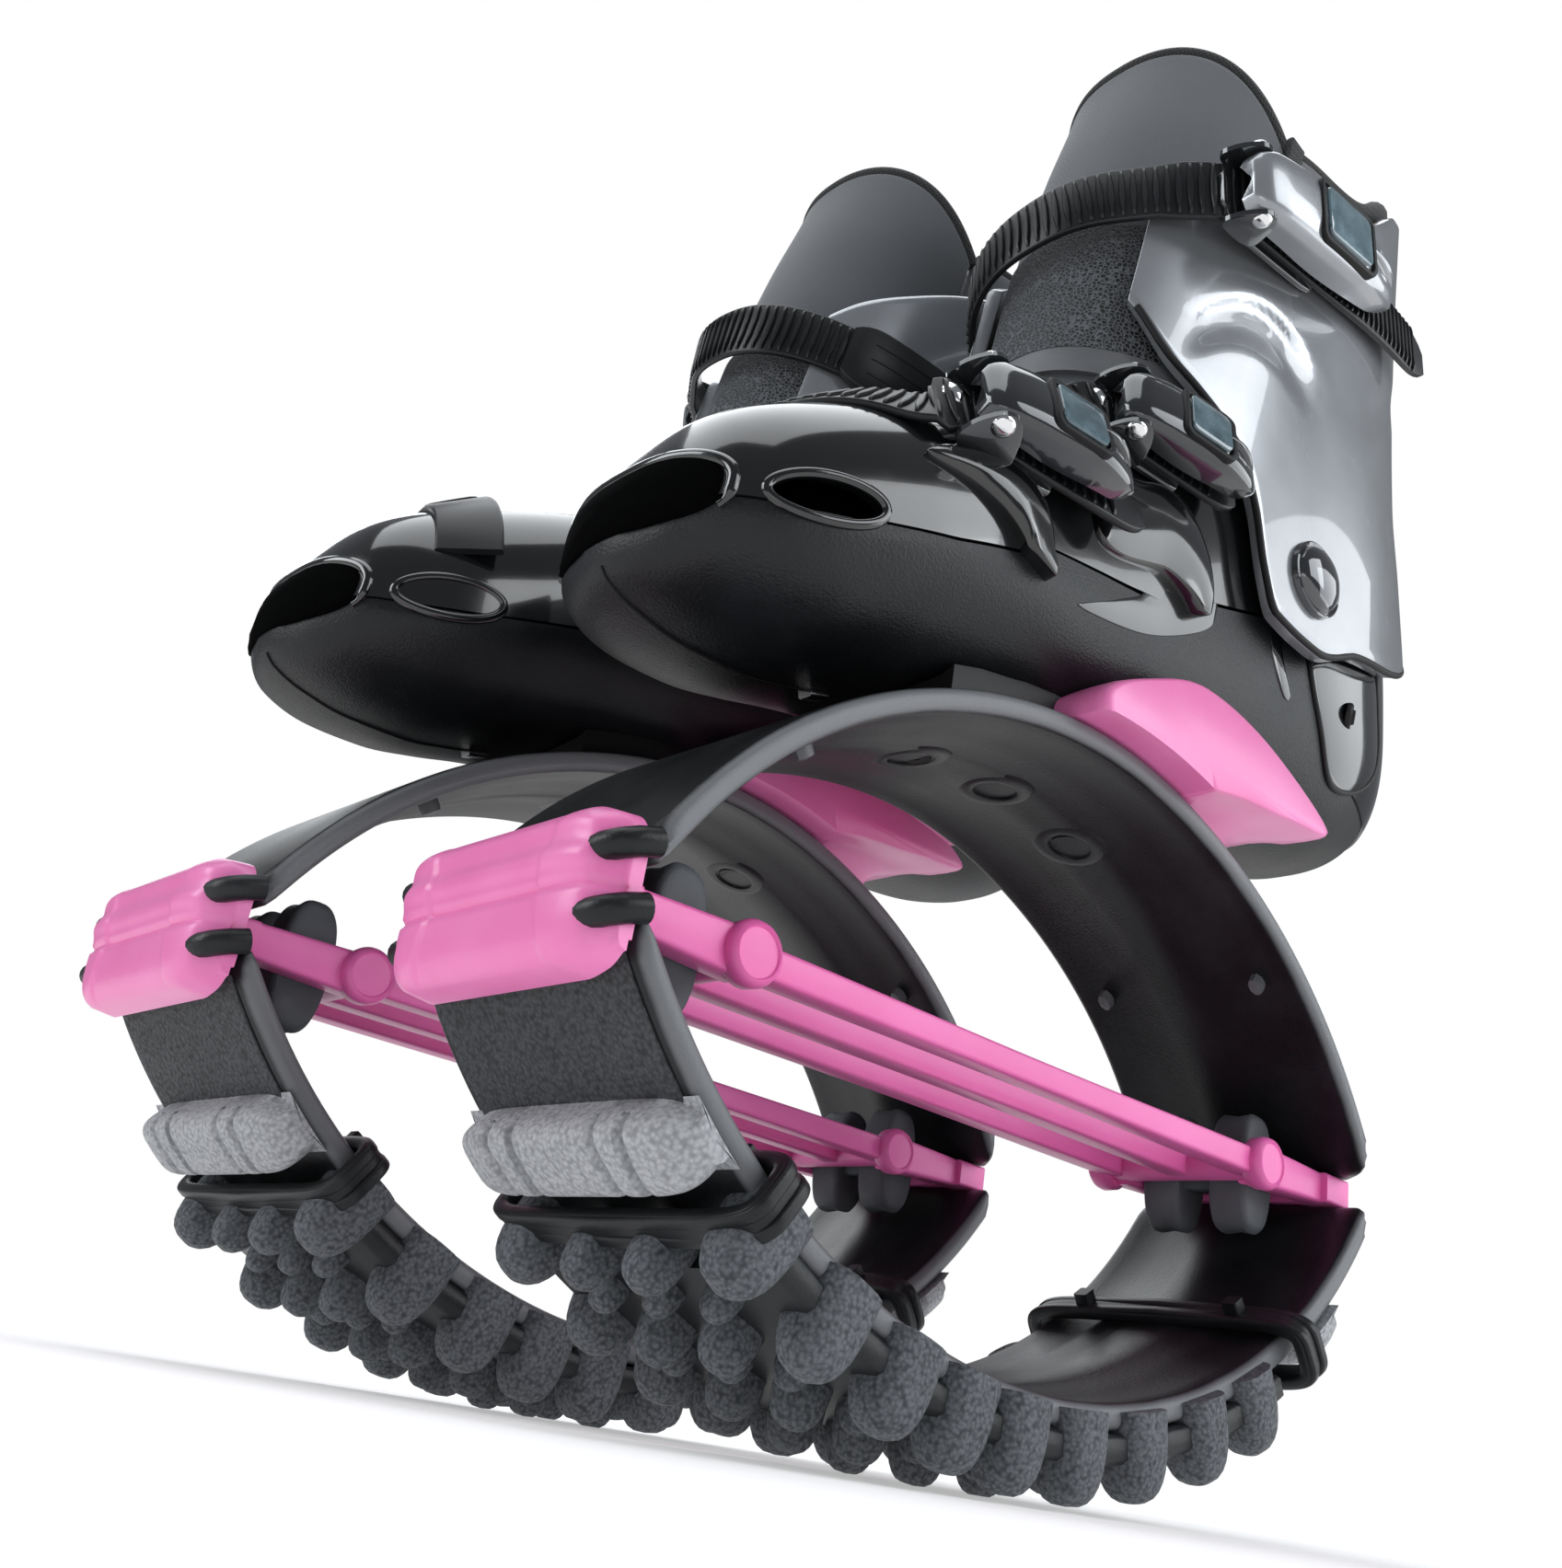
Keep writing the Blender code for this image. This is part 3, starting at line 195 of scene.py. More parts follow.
# Shares of the length, height and half width: bottom, top, widest level, half width
hull_shares = [
    (0.000, -0.045, 0.065, 0.015, 0.150), (0.012, -0.075, 0.150, 0.015, 0.420),
    (0.040, -0.100, 0.262, 0.015, 0.690), (0.085, -0.115, 0.345, 0.025, 0.850),
    (0.140, -0.110, 0.420, 0.060, 0.940), (0.190, -0.085, 0.480, 0.105, 0.985),
    (0.240, -0.050, 0.535, 0.150, 1.000), (0.300, -0.015, 0.605, 0.200, 0.990),
    (0.360, 0.012, 0.680, 0.245, 0.955), (0.430, 0.025, 0.790, 0.300, 0.900),
    (0.500, 0.040, 1.050, 0.350, 0.855), (0.580, 0.052, 1.350, 0.400, 0.835),
    (0.660, 0.062, 1.450, 0.440, 0.830), (0.740, 0.072, 1.450, 0.470, 0.830),
    (0.820, 0.088, 1.400, 0.490, 0.800), (0.890, 0.130, 1.250, 0.510, 0.710),
    (0.945, 0.215, 1.050, 0.540, 0.530), (0.980, 0.330, 0.890, 0.580, 0.320),
    (1.000, 0.480, 0.760, 0.620, 0.130),
]
parting_shares = [
    (-0.06, 0.045), (0.000, 0.040), (0.028, 0.032), (0.070, 0.038), (0.110, 0.058), (0.200, 0.118),
    (0.300, 0.205), (0.306, 0.230), (0.470, 0.325), (0.476, 0.362), (0.590, 0.455),
    (0.660, 0.515), (0.710, 0.500), (0.725, 0.415), (0.755, 0.325), (0.820, 0.262),
    (0.900, 0.240), (1.060, 0.230),
]
collar_shares = [
    (0.275, 0.640), (0.330, 0.610), (0.400, 0.650), (0.480, 0.760), (0.560, 0.850),
    (0.680, 0.890), (0.880, 0.860), (1.060, 0.830),
]
# Level, front and back from the middle of the shaft, half width
liner_shares = [
    (0.00, -0.46, 0.500, 0.70), (0.11, -0.585, 0.540, 0.79), (0.20, -0.575, 0.535, 0.83),
    (0.27, -0.550, 0.525, 0.870), (0.38, -0.520, 0.490, 0.920), (0.54, -0.475, 0.465, 0.960),
    (0.70, -0.420, 0.460, 0.985), (0.86, -0.355, 0.460, 1.010), (1.00, -0.310, 0.460, 1.020),
]
cuff_shares = [
    (0.00, -0.66, 0.598, 0.970), (0.11, -0.655, 0.598, 0.970), (0.27, -0.60, 0.560, 0.980),
    (0.38, -0.56, 0.519, 0.995), (0.54, -0.510, 0.497, 1.020), (0.70, -0.455, 0.491, 1.040),
    (0.86, -0.390, 0.488, 1.065), (1.00, -0.345, 0.485, 1.080),
]


def keel(share, s):
    """How full the hull's section is: boxy above, nearer a V under the toe."""
    return np.where(s > 0, 0.75, 0.75 + 0.55 * soft(0.36, 0.16, share))


def on_hull(share, turn, lift=0.0):
    """On the hull: turn 0 is the inner side, a quarter the top, a half the buckle side."""
    bottom, top, level, half = np.moveaxis(through(hull_shares, share), -1, 0)
    x = toe_place + boot_length * (0.5 + (share - 0.5) * (1 + 2 * lift / boot_length))
    c, s = np.cos(turn), np.sin(turn)
    out = -(hull_half * half + lift) * signed(c, 0.75)
    reach = np.where(s > 0, (top - level) * hull_height, (level - bottom) * hull_height) + lift
    return at(x, out, seat_z + hull_height * level + reach * signed(s, keel(share, s)))


def on_shaft(shares, level, turn, lift=0.0):
    """On the shaft: turn 0 is the front, a quarter turn is the buckle side."""
    front, back, half = np.moveaxis(through(shares, level), -1, 0)
    low, high = shaft_place + shaft_depth * front - lift, shaft_place + shaft_depth * back + lift
    c, s = np.cos(turn), np.sin(turn)
    x = (low + high) / 2 - (high - low) / 2 * signed(c, 0.86)
    return at(x, (shaft_half * half + lift) * signed(s, 0.86), shaft_base + shaft_height * level)


def arc_height(upper, x):
    base, rise, a, b = (mouth_z, 0.0767, 0.18, 0.28) if upper else (floor_lip_z, -0.0672, 0.23, 0.175)
    t = np.clip(x / arc_half, -1, 1)
    return base + rise * (1 - t * t) * (1 + a * t * t + b * t**4)


print("hull", len(hull_shares), "stations, crown of the arc at", round(crown_z, 4))

# %% [markdown]
# ## From points to pieces
# Almost every piece here is a grid of points: rows along it, columns round it. The helpers
# turn a grid into a closed skin, a pair of grids into a thick sheet, and a line into a bar
# with any section. `fit` is the last step of each piece. It applies what modifiers there
# are, makes the mirrored twin, points the faces outwards, and binds both to a body of the
# frame; a piece given a bend is left unbound where it was made.

# %% Grids, sheets and bars
def mesh_from(name, points, faces, edges=()):
    mesh = bpy.data.meshes.new(name)
    mesh.from_pydata(np.asarray(points, float).reshape(-1, 3).tolist(), edges, faces)
    return placed(name, mesh)


def wire(name, points, closed=False):
    """A line of points, each joined to the next."""
    count = len(points)
    return mesh_from(name, points, [], [(k, (k + 1) % count) for k in range(count if closed else count - 1)])


def store(piece, name, kind, field, numbers):
    """Values that the points of a piece carry."""
    layer = piece.data.attributes.new(name, kind, "POINT")
    layer.data.foreach_set(field, np.array(numbers, float).ravel())


def quads(rows, columns, around=False, first=0):
    faces = []
    for r in range(rows - 1):
        for c in range(columns if around else columns - 1):
            a, b = first + r * columns + c, first + r * columns + (c + 1) % columns
            faces.append((a, b, b + columns, a + columns))
    return faces


def rings(name, grid):
    """Closed rings one after the other, both ends filled round a middle point."""
    grid = np.asarray(grid, float)
    rows, columns = grid.shape[:2]
    points = list(grid.reshape(-1, 3)) + [grid[0].mean(0), grid[-1].mean(0)]
    faces = quads(rows, columns, True)
    for c in range(columns):
        d = (c + 1) % columns
        faces.append((d, c, rows * columns))
        faces.append(((rows - 1) * columns + c, (rows - 1) * columns + d, rows * columns + 1))
    return mesh_from(name, points, faces)


def thick_sheet(name, outer, inner):
    """Two open grids as the faces of one sheet, closed all round its edge."""
    outer, inner = np.asarray(outer, float), np.asarray(inner, float)
    rows, columns = outer.shape[:2]
    count = rows * columns
    faces = quads(rows, columns) + [f[::-1] for f in quads(rows, columns, False, count)]
    edge = list(range(columns)) + [r * columns + columns - 1 for r in range(1, rows)]
    edge += [(rows - 1) * columns + c for c in range(columns - 2, -1, -1)]
    edge += [r * columns for r in range(rows - 2, 0, -1)]
    for a, b in zip(edge, edge[1:] + edge[:1]):
        faces.append((b, a, a + count, b + count))
    return mesh_from(name, np.concatenate([outer.reshape(-1, 3), inner.reshape(-1, 3)]), faces)


def round_box(half_a, half_b, radius, steps=3):
    """A rounded rectangle as a ring of (a, b) points."""
    ring = []
    for k, (sa, sb) in enumerate(((1, 1), (-1, 1), (-1, -1), (1, -1))):
        for i in range(steps + 1):
            turn = pi / 2 * (k + i / steps)
            a, b = sa * (half_a - radius), sb * (half_b - radius)
            ring.append((a + radius * cos(turn), b + radius * sin(turn)))
    return np.array(ring)


def circle(radius, sides=16):
    turn = full_turn(sides)
    return pairs(np.cos(turn) * radius, np.sin(turn) * radius)


def bar(name, path, sides, section, sizes=None, closed=False):
    """A section carried along a path. `sides` says which way its second axis points."""
    path, sides = np.asarray(path, float), np.broadcast_to(sides, np.shape(path)).astype(float)
    run = np.roll(path, -1, 0) - np.roll(path, 1, 0) if closed else np.gradient(path, axis=0)
    run = unit(run)
    up = unit(sides - run * (sides * run).sum(1)[:, None])
    across = np.cross(up, run)
    sizes = np.ones((len(path), 2)) if sizes is None else np.asarray(sizes, float).reshape(len(path), -1)
    if sizes.shape[1] == 1:
        sizes = np.repeat(sizes, 2, 1)
    a, b = section[:, 0][None, :, None], section[:, 1][None, :, None]
    grid = path[:, None] + across[:, None] * a * sizes[:, None, :1] + up[:, None] * b * sizes[:, None, 1:]
    if not closed:
        return rings(name, grid)
    faces = quads(len(path) + 1, len(section), True)
    return mesh_from(name, grid, [tuple(v % (len(path) * len(section)) for v in face) for face in faces])


def turned_part(name, centre, axis, profile, sides=40):
    """A lathe shape: (radius, height) rows turned round an axis."""
    axis = Vector(axis).normalized()
    across = axis.orthogonal().normalized()
    other = axis.cross(across)
    turn = full_turn(sides)
    ring = np.cos(turn)[:, None] * np.array(across) + np.sin(turn)[:, None] * np.array(other)
    return rings(name, [np.array(centre) + np.array(axis) * h + ring * max(r, 0.00001) for r, h in profile])


@contextmanager
def editing(mesh):
    """A mesh opened for editing and written back afterwards."""
    work = bmesh.new()
    work.from_mesh(mesh)
    yield work
    work.to_mesh(mesh)
    work.free()


def joined(name, pieces):
    """Several loose pieces as the shells of one."""
    mesh = bpy.data.meshes.new(name)
    with editing(mesh) as whole:
        for piece in pieces:
            whole.from_mesh(piece.data)
            bpy.data.objects.remove(piece)
    return placed(name, mesh)


def plain_mesh(piece):
    """The piece with its modifiers worked out."""
    bpy.context.view_layer.update()
    return bpy.data.meshes.new_from_object(piece.evaluated_get(bpy.context.evaluated_depsgraph_get()))


def settled(piece):
    """The same piece with its modifiers turned into plain mesh."""
    mesh = plain_mesh(piece)
    piece.modifiers.clear()
    piece.data = mesh
    return piece


def cut(piece, tools):
    """Takes the tools out of a piece, with the exact solver."""
    for tool in tools:
        step = piece.modifiers.new("cut", "BOOLEAN")
        step.operation, step.solver, step.object = "DIFFERENCE", "EXACT", tool
    settled(piece)
    for tool in tools:
        bpy.data.objects.remove(tool)


def soften(piece, width, segments=2, angle=50):
    step = piece.modifiers.new("soft edge", "BEVEL")
    step.width, step.segments = width, segments
    step.limit_method, step.angle_limit = "ANGLE", radians(angle)
    return piece


made = []


def fit(piece, name, finish, moves, stands_for=(), sharp=38):
    """Both boots' copies of a piece, on the frame. `moves` is a body to bind them to, or a bend, which leaves
    them unbound.
    """
    mesh = plain_mesh(piece)
    bpy.data.objects.remove(piece)
    for side, middle in (("left", -half_apart), ("right", half_apart)):
        own = mesh.copy()
        own.name = f"{side}_{name}"
        with editing(own) as work:
            if side == "right":
                for vertex in work.verts:
                    vertex.co = (vertex.co.x - right_ahead, -vertex.co.y, vertex.co.z)
            bmesh.ops.remove_doubles(work, verts=work.verts[:], dist=0.00002)
            bmesh.ops.dissolve_degenerate(work, edges=work.edges[:], dist=0.000005)
            bmesh.ops.recalc_face_normals(work, faces=work.faces[:])
        own.materials.clear()
        own.materials.append(finish.material)
        own.shade_smooth()
        own.set_sharp_from_angle(angle=radians(sharp))
        twin = placed(f"{side}_{name}", own)
        if stands_for:
            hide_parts(*[f"{side}_{node}" for node in stands_for])
        if isinstance(moves, tuple):
            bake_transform(twin)
        else:
            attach(twin, f"{side}_{moves}")
    made.append(name)
    print(name, len(own.polygons), "faces")


# %% [markdown]
# ## Repeats and trim
# Lugs, strap teeth, pegs and bolts are one small shape many times over. A node tree puts a
# copy at each point of a mesh, turned and sized by two values that the points carry.
# A second tree carries a round section along a line, for piping, rolled lips and grooves.

# %% Node trees
def new_node(tree, kind, settings, values):
    """A node with its settings made first, then its inputs linked or set."""
    node = tree.nodes.new(kind)
    for key, setting in settings.items():
        setattr(node, key, setting)
    for key, number in values.items():
        if isinstance(number, bpy.types.NodeSocket):
            tree.links.new(number, node.inputs[key])
        else:
            node.inputs[key].default_value = number
    return node


class Tree:
    """A node tree that takes a mesh and gives back another, in its own finish."""

    def __init__(self, name, **inputs):
        self.group = bpy.data.node_groups.new(name, "GeometryNodeTree")
        for label, kind in {"Geometry": "Geometry", **inputs, "Finish": "Material"}.items():
            self.group.interface.new_socket(label, in_out="INPUT", socket_type="NodeSocket" + kind)
        self.group.interface.new_socket("Geometry", in_out="OUTPUT", socket_type="NodeSocketGeometry")
        self.take = self.group.nodes.new("NodeGroupInput").outputs

    def add(self, kind, values, **settings):
        """A node's geometry output, or else its first."""
        node = new_node(self.group, "GeometryNode" + kind, settings, values)
        return next((socket for socket in node.outputs if socket.name == "Geometry"), node.outputs[0])

    def named(self, name, kind):
        return self.add("InputNamedAttribute", {"Name": name}, data_type=kind)

    def give(self, result):
        whole = self.add("RealizeInstances", {"Geometry": result})
        painted = self.add("SetMaterial", {"Geometry": whole, "Material": self.take["Finish"]})
        self.group.links.new(painted, self.group.nodes.new("NodeGroupOutput").inputs["Geometry"])


copies = Tree("copies at points", Shape="Object")
copies.give(copies.add("InstanceOnPoints", {
    "Points": copies.take["Geometry"], "Instance": copies.add("ObjectInfo", {"Object": copies.take["Shape"]}),
    "Rotation": copies.named("turn", "FLOAT_VECTOR"), "Scale": copies.named("size", "FLOAT_VECTOR")}))

sweep = Tree("round trim on a line", Radius="Float", Sides="Int")
sweep.give(sweep.add("CurveToMesh", {
    "Curve": sweep.add("MeshToCurve", {"Mesh": sweep.take["Geometry"]}), "Scale": sweep.named("girth", "FLOAT"),
    "Profile Curve": sweep.add("CurvePrimitiveCircle", {
        "Radius": sweep.take["Radius"], "Resolution": sweep.take["Sides"]}), "Fill Caps": True}))


def grown(piece, tree, finish, **values):
    """Runs a node tree on a piece and keeps the plain mesh that it makes."""
    values["Finish"] = finish.material
    step = piece.modifiers.new(tree.group.name, "NODES")
    step.node_group = tree.group
    for item in tree.group.interface.items_tree:
        if item.in_out == "INPUT" and item.name in values:
            step[item.identifier] = values[item.name]
    return settled(piece)


def repeat(name, shape, places, axes, sizes, finish):
    """Copies of a shape at places. Each of `axes` holds its x, y and z directions."""
    holder = mesh_from(name, places, [])
    turns = [Matrix(tuple(map(Vector, a))).transposed().to_euler() for a in axes]
    store(holder, "turn", "FLOAT_VECTOR", "vector", [tuple(turn) for turn in turns])
    store(holder, "size", "FLOAT_VECTOR", "vector", np.broadcast_to(sizes, (len(turns), 3)))
    grown(holder, copies, finish, Shape=shape)
    bpy.data.objects.remove(shape)
    return holder


def trim(name, points, radius, finish, girth=1.0, closed=False, sides=10):
    """A round cord along a line of points."""
    holder = wire(name, points, closed)
    store(holder, "girth", "FLOAT", "value", np.broadcast_to(girth, len(points)))
    return grown(holder, sweep, finish, Radius=radius, Sides=sides)


def pebble(name, power=3.0, rows=7, columns=12, flat=0.0):
    """A rounded block one unit across, its foot on the origin's level."""
    turn = (np.arange(columns) + 0.5) * 2 * pi / columns
    c, s = np.cos(turn), np.sin(turn)
    reach = (np.abs(c) ** power + np.abs(s) ** power) ** (-1 / power)
    grid = []
    for level in np.sin(np.linspace(0, pi / 2, rows)):
        size = (1 - level ** power) ** (1 / power) * (1 - flat) + flat * (level < 1)
        grid.append(np.stack([c * reach * size / 2, s * reach * size / 2, np.full(columns, level)], -1))
    return rings(name, grid)


print("node trees:", copies.group.name, "and", sweep.group.name)

# %% [markdown]
# ## Finishes
# A finish is a small sum: a colour that varies a little, a roughness that varies with it,
# and a height that becomes a bump. `Flow` wraps a socket so that such sums can be written
# as plain expressions, and `Finish` adds every other node through one method.

# %% Writing materials as expressions
class Flow:
    """A number that varies over a surface."""

    def __init__(self, finish, socket):
        self.finish, self.socket = finish, socket

    def sum_of(self, operation, *terms):
        return self.finish.node("Math", {"operation": operation}, dict(enumerate(terms)))

    def __add__(self, other):
        return self.sum_of("ADD", self, other)

    def __sub__(self, other):
        return self.sum_of("SUBTRACT", self, other)

    def __rsub__(self, other):
        return self.sum_of("SUBTRACT", other, self)

    def __mul__(self, other):
        return self.sum_of("MULTIPLY", self, other)

    def clipped(self, low, high):
        """0 at low and 1 at high, held outside them."""
        return self.finish.node("MapRange", {"interpolation_type": "SMOOTHSTEP"},
                                {"Value": self, "From Min": low, "From Max": high})

    __radd__ = __add__
    __rmul__ = __mul__


class Finish:
    """A Principled material whose constants sit on its own sockets."""

    def __init__(self, name, colour, roughness, metallic=0.0, coat=0.0, **fixed):
        self.material = bpy.data.materials.new(name)
        self.material.use_nodes = True
        self.tree = self.material.node_tree
        self.shader = self.tree.nodes["Principled BSDF"]
        fixed.update(Base_Color=(*colour, 1.0), Roughness=roughness, Metallic=metallic, Coat_Weight=coat)
        for key, number in fixed.items():
            self.shader.inputs[key.replace("_", " ")].default_value = number
        self.material.diffuse_color = (*colour, 1.0)

    def node(self, kind, settings, values, output=0):
        values = {key: v.socket if isinstance(v, Flow) else v for key, v in values.items()}
        return Flow(self, new_node(self.tree, "ShaderNode" + kind, settings, values).outputs[output])

    def place(self):
        return self.node("TexCoord", {}, {}, 3)

    def stored(self, name):
        return self.node("Attribute", {"attribute_name": name}, {}, 2)

    def noise(self, scale, detail=4.0, rough=0.55):
        return self.node("TexNoise", {}, {
            "Vector": self.place(), "Scale": scale, "Detail": detail, "Roughness": rough})

    def cells(self, scale, feature="F1"):
        return self.node("TexVoronoi", {"feature": feature}, {"Vector": self.place(), "Scale": scale})

    def mix(self, mask, below, above):
        below, above = ((*c, 1.0) if isinstance(c, tuple) and len(c) == 3 else c for c in (below, above))
        return self.node("Mix", {"data_type": "RGBA"}, {0: mask, 6: below, 7: above}, 2)

    def feed(self, **inputs):
        for key, flow in inputs.items():
            self.tree.links.new(flow.socket, self.shader.inputs[key.replace("_", " ")])
        return self

    def relief(self, height, distance):
        return self.feed(Normal=self.node("Bump", {}, {"Height": height, "Distance": distance}))


# %% [markdown]
# ### Moulded plastics and rubbers
# The lower shell and the arcs are a satin plastic with a fine pebbled grain, the upper
# shell is polished black, and the cuff is a dark silver lacquer. The grain is a noise of
# about half a millimetre used as a bump. A slower noise shifts colour and roughness a
# little, as handling and dust do.

# %% Plastics
def shade(colour, factor, more=0.0):
    """A colour made lighter or darker."""
    return tuple(c * factor + more for c in colour)


def satin(name, colour, roughness, grain=1500, depth=0.00012, wear_and_shade=0.5):
    finish = Finish(name, colour, roughness, Specular_IOR_Level=0.32)
    fine = finish.noise(grain, 2.0)
    slow = finish.noise(38, 3.0)
    darker, lighter = shade(colour, 1 - wear_and_shade * 0.35), shade(colour, 1 + wear_and_shade, 0.001)
    finish.feed(Base_Color=finish.mix(slow.clipped(0.35, 0.68), darker, lighter),
                Roughness=slow * 0.16 + fine * 0.10 + (roughness - 0.13))
    return finish.relief(fine, depth)


def polished(name, colour, roughness, metallic=0.0, coat=1.0):
    finish = Finish(name, colour, roughness, metallic, coat, Coat_Roughness=0.03, Specular_IOR_Level=0.55)
    slow = finish.noise(22, 4.0)
    haze = finish.noise(140, 3.0)
    darker, lighter = shade(colour, 0.86), shade(colour, 1.14, 0.001)
    finish.feed(Base_Color=finish.mix(slow.clipped(0.3, 0.7), darker, lighter),
                Roughness=haze.clipped(0.45, 0.85) * 0.04 + roughness)
    return finish.relief(finish.noise(60, 2.0), 0.00004)


# Painted shade: a near-black that hardly reflects, for the slot that is not cut and the inside of the toe. Its
# noise varies the black a little.
painted_shade_black = Finish("openings, unlit black", (0.0010, 0.0011, 0.0012), 0.95, Specular_IOR_Level=0.02)
shade_speckle = painted_shade_black.noise(300, 2.0)
painted_shade_black.feed(Base_Color=painted_shade_black.mix(shade_speckle, (0.0006, 0.0007, 0.0008), (0.0016, 0.0017, 0.0019)),
                Roughness=shade_speckle * 0.05 + 0.92)
shell_satin = satin("lower shell, satin black", (0.0066, 0.0078, 0.0094), 0.42, 1500, 0.00020)
shell_gloss = polished("upper shell, polished black", (0.0040, 0.0046, 0.0054), 0.13, 0.0, 0.6)
cuff_silver = polished("cuff, dark silver lacquer", (0.300, 0.314, 0.335), 0.24, 0.55)
lever_gloss = polished("buckle, polished graphite", (0.024, 0.027, 0.031), 0.12, 0.40)
strap_black = satin("ladder strap, black", (0.0080, 0.0090, 0.0105), 0.34, 2600, 0.00003, 0.3)
arc_satin = satin("arc, glass-filled black", (0.0100, 0.0115, 0.0130), 0.40, 1300, 0.00009, 0.4)
clamp_black = satin("clamp, black", (0.0090, 0.0100, 0.0115), 0.40, 1500, 0.00006, 0.3)
bumper_grey = satin("bumper, dark rubber", (0.085, 0.092, 0.102), 0.60, 1200, 0.00010, 0.4)
seam_black = satin("grooves and slots, black", (0.004, 0.004, 0.005), 0.55, 2000, 0.00002, 0.2)
edge_grey = satin("arc edge, rubbed grey", (0.110, 0.114, 0.122), 0.42, 1100, 0.00005, 0.2)

# %% [markdown]
# The arc's colour turns from black on its broad faces to grey towards its two edges. This
# pale edge is a painted highlight, where the light falls on the edges. The sweep
# stores how near the edge each point is, which the material reads as an attribute.

# %% Arc finish with painted pale edges
arc_finish = Finish("arc, satin black with rubbed edges", (0.020, 0.021, 0.024), 0.40, Specular_IOR_Level=0.30)
fine = arc_finish.noise(1300, 2.0)
slow = arc_finish.noise(45, 3.0)
# Painted highlight: the colour turns pale grey towards the arc's two edges, where light falls on them.
painted_pale_edge = (arc_finish.stored("edge") + slow * 0.3 - 0.15).clipped(0.55, 0.9)
body_tone = arc_finish.mix(slow.clipped(0.35, 0.7), (0.0045, 0.0052, 0.0062), (0.0110, 0.0124, 0.0142))
arc_finish.feed(Base_Color=arc_finish.mix(painted_pale_edge, body_tone, (0.155, 0.160, 0.170)),
                Roughness=slow * 0.15 + fine * 0.1 + 0.27).relief(fine, 0.00008)

# %% [markdown]
# ### Tread rubber
# The lugs have a leathery pebble, about a millimetre across, on a dark grey. A cell pattern
# gives the pebbles their rounded tops. Their colour is painted darker in the valleys, as
# shade, and paler on the tops, with a slow noise that varies it at random.

# %% Rubber
def pebbled(name, valley, top, scale, depth):
    finish = Finish(name, top, 0.72)
    cell = finish.cells(scale, "SMOOTH_F1")
    fine = finish.noise(scale * 2.2, 3.0)
    height = (1 - cell) + fine * 0.35
    # Painted shade: the colour is darker in the pebbles' valleys and paler on their tops, with a slow noise
    # mixed in.
    wear_and_shade = (height + finish.noise(30, 2.0) * 0.25).clipped(0.45, 1.25)
    finish.feed(Base_Color=finish.mix(wear_and_shade, valley, top), Roughness=0.9 - height * 0.25)
    return finish.relief(height, depth)


tread_rubber = pebbled("tread, pebbled dark rubber", (0.030, 0.034, 0.040), (0.125, 0.134, 0.148),
                       1100, 0.00014)
pad_rubber = pebbled("tread pad, pebbled grey rubber", (0.240, 0.248, 0.262), (0.460, 0.470, 0.490),
                     1000, 0.00014)
toe_satin = pebbled("arc front, pebbled black", (0.012, 0.0135, 0.0155), (0.050, 0.054, 0.060), 1000, 0.0003)

# %% [markdown]
# ### Pink parts
# The cap and the saddle are a pink plastic with a soft gloss. The bars are an elastic of
# the same pink, a shade deeper and more matt, with light passing a little into it.

# %% Pinks
def pink(name, colour, deep, roughness, under):
    finish = Finish(name, colour, roughness, 0.0, 0.15, Coat_Roughness=0.2, Subsurface_Weight=under,
                    Subsurface_Scale=0.004, Subsurface_Radius=(1.0, 0.35, 0.6))
    slow = finish.noise(26, 3.0)
    fine = finish.noise(900, 2.0)
    finish.feed(Base_Color=finish.mix(slow.clipped(0.3, 0.72), deep, colour),
                Roughness=fine * 0.12 + slow * 0.1 + roughness - 0.11)
    return finish.relief(fine, 0.00003)


pink_shell = pink("pink plastic, soft gloss", (0.900, 0.240, 0.545), (0.850, 0.190, 0.470), 0.36, 0.08)
pink_elastic = pink("pink elastic", (0.880, 0.170, 0.490), (0.810, 0.130, 0.420), 0.44, 0.10)

# %% [markdown]
# ### Cloth, metal and tinted plastic
# The liner is a thin grey stretch fabric bonded to foam: a very fine weave that only shows
# as a soft sheen. The patch under the top strap is an open mesh, and the trim is a ribbed
# black tape. The release tabs are smoky blue and let some light through.

# %% Soft goods and hardware
def woven(name, colour, pitch, depth, dark=0.7, sheen=0.25):
    finish = Finish(name, colour, 0.78, Sheen_Weight=sheen, Sheen_Roughness=0.5)
    waves = []
    for axis, turn in (("X", (0, 0, 0.5)), ("Z", (0, 0.6, 0.3)), ("Y", (0.4, 0, 0))):
        placed = finish.node("Mapping", {}, {"Vector": finish.place(), "Rotation": turn})
        waves.append(finish.node("TexWave", {"bands_direction": axis}, {
            "Vector": placed, "Scale": 0.314 / pitch, "Distortion": 0.6, "Detail": 1.0}, 1))
    weave = (waves[0] + waves[1] + waves[2]) * 0.333
    tone = (weave * 0.5 + finish.noise(30, 4.0) * 0.7).clipped(0.3, 0.85)
    finish.feed(Base_Color=finish.mix(tone, shade(colour, dark), shade(colour, 1.15)),
                Roughness=0.9 - weave * 0.2)
    return finish.relief(weave, depth)


liner_cloth = woven("liner, grey stretch cloth", (0.058, 0.064, 0.073), 0.0006, 0.00004, 0.9)
trim_tape = woven("trim, ribbed black tape", (0.012, 0.012, 0.013), 0.0011, 0.0003, 0.5, 0.1)
foam_sole = woven("footbed, dark brushed foam", (0.045, 0.046, 0.050), 0.0010, 0.0002)

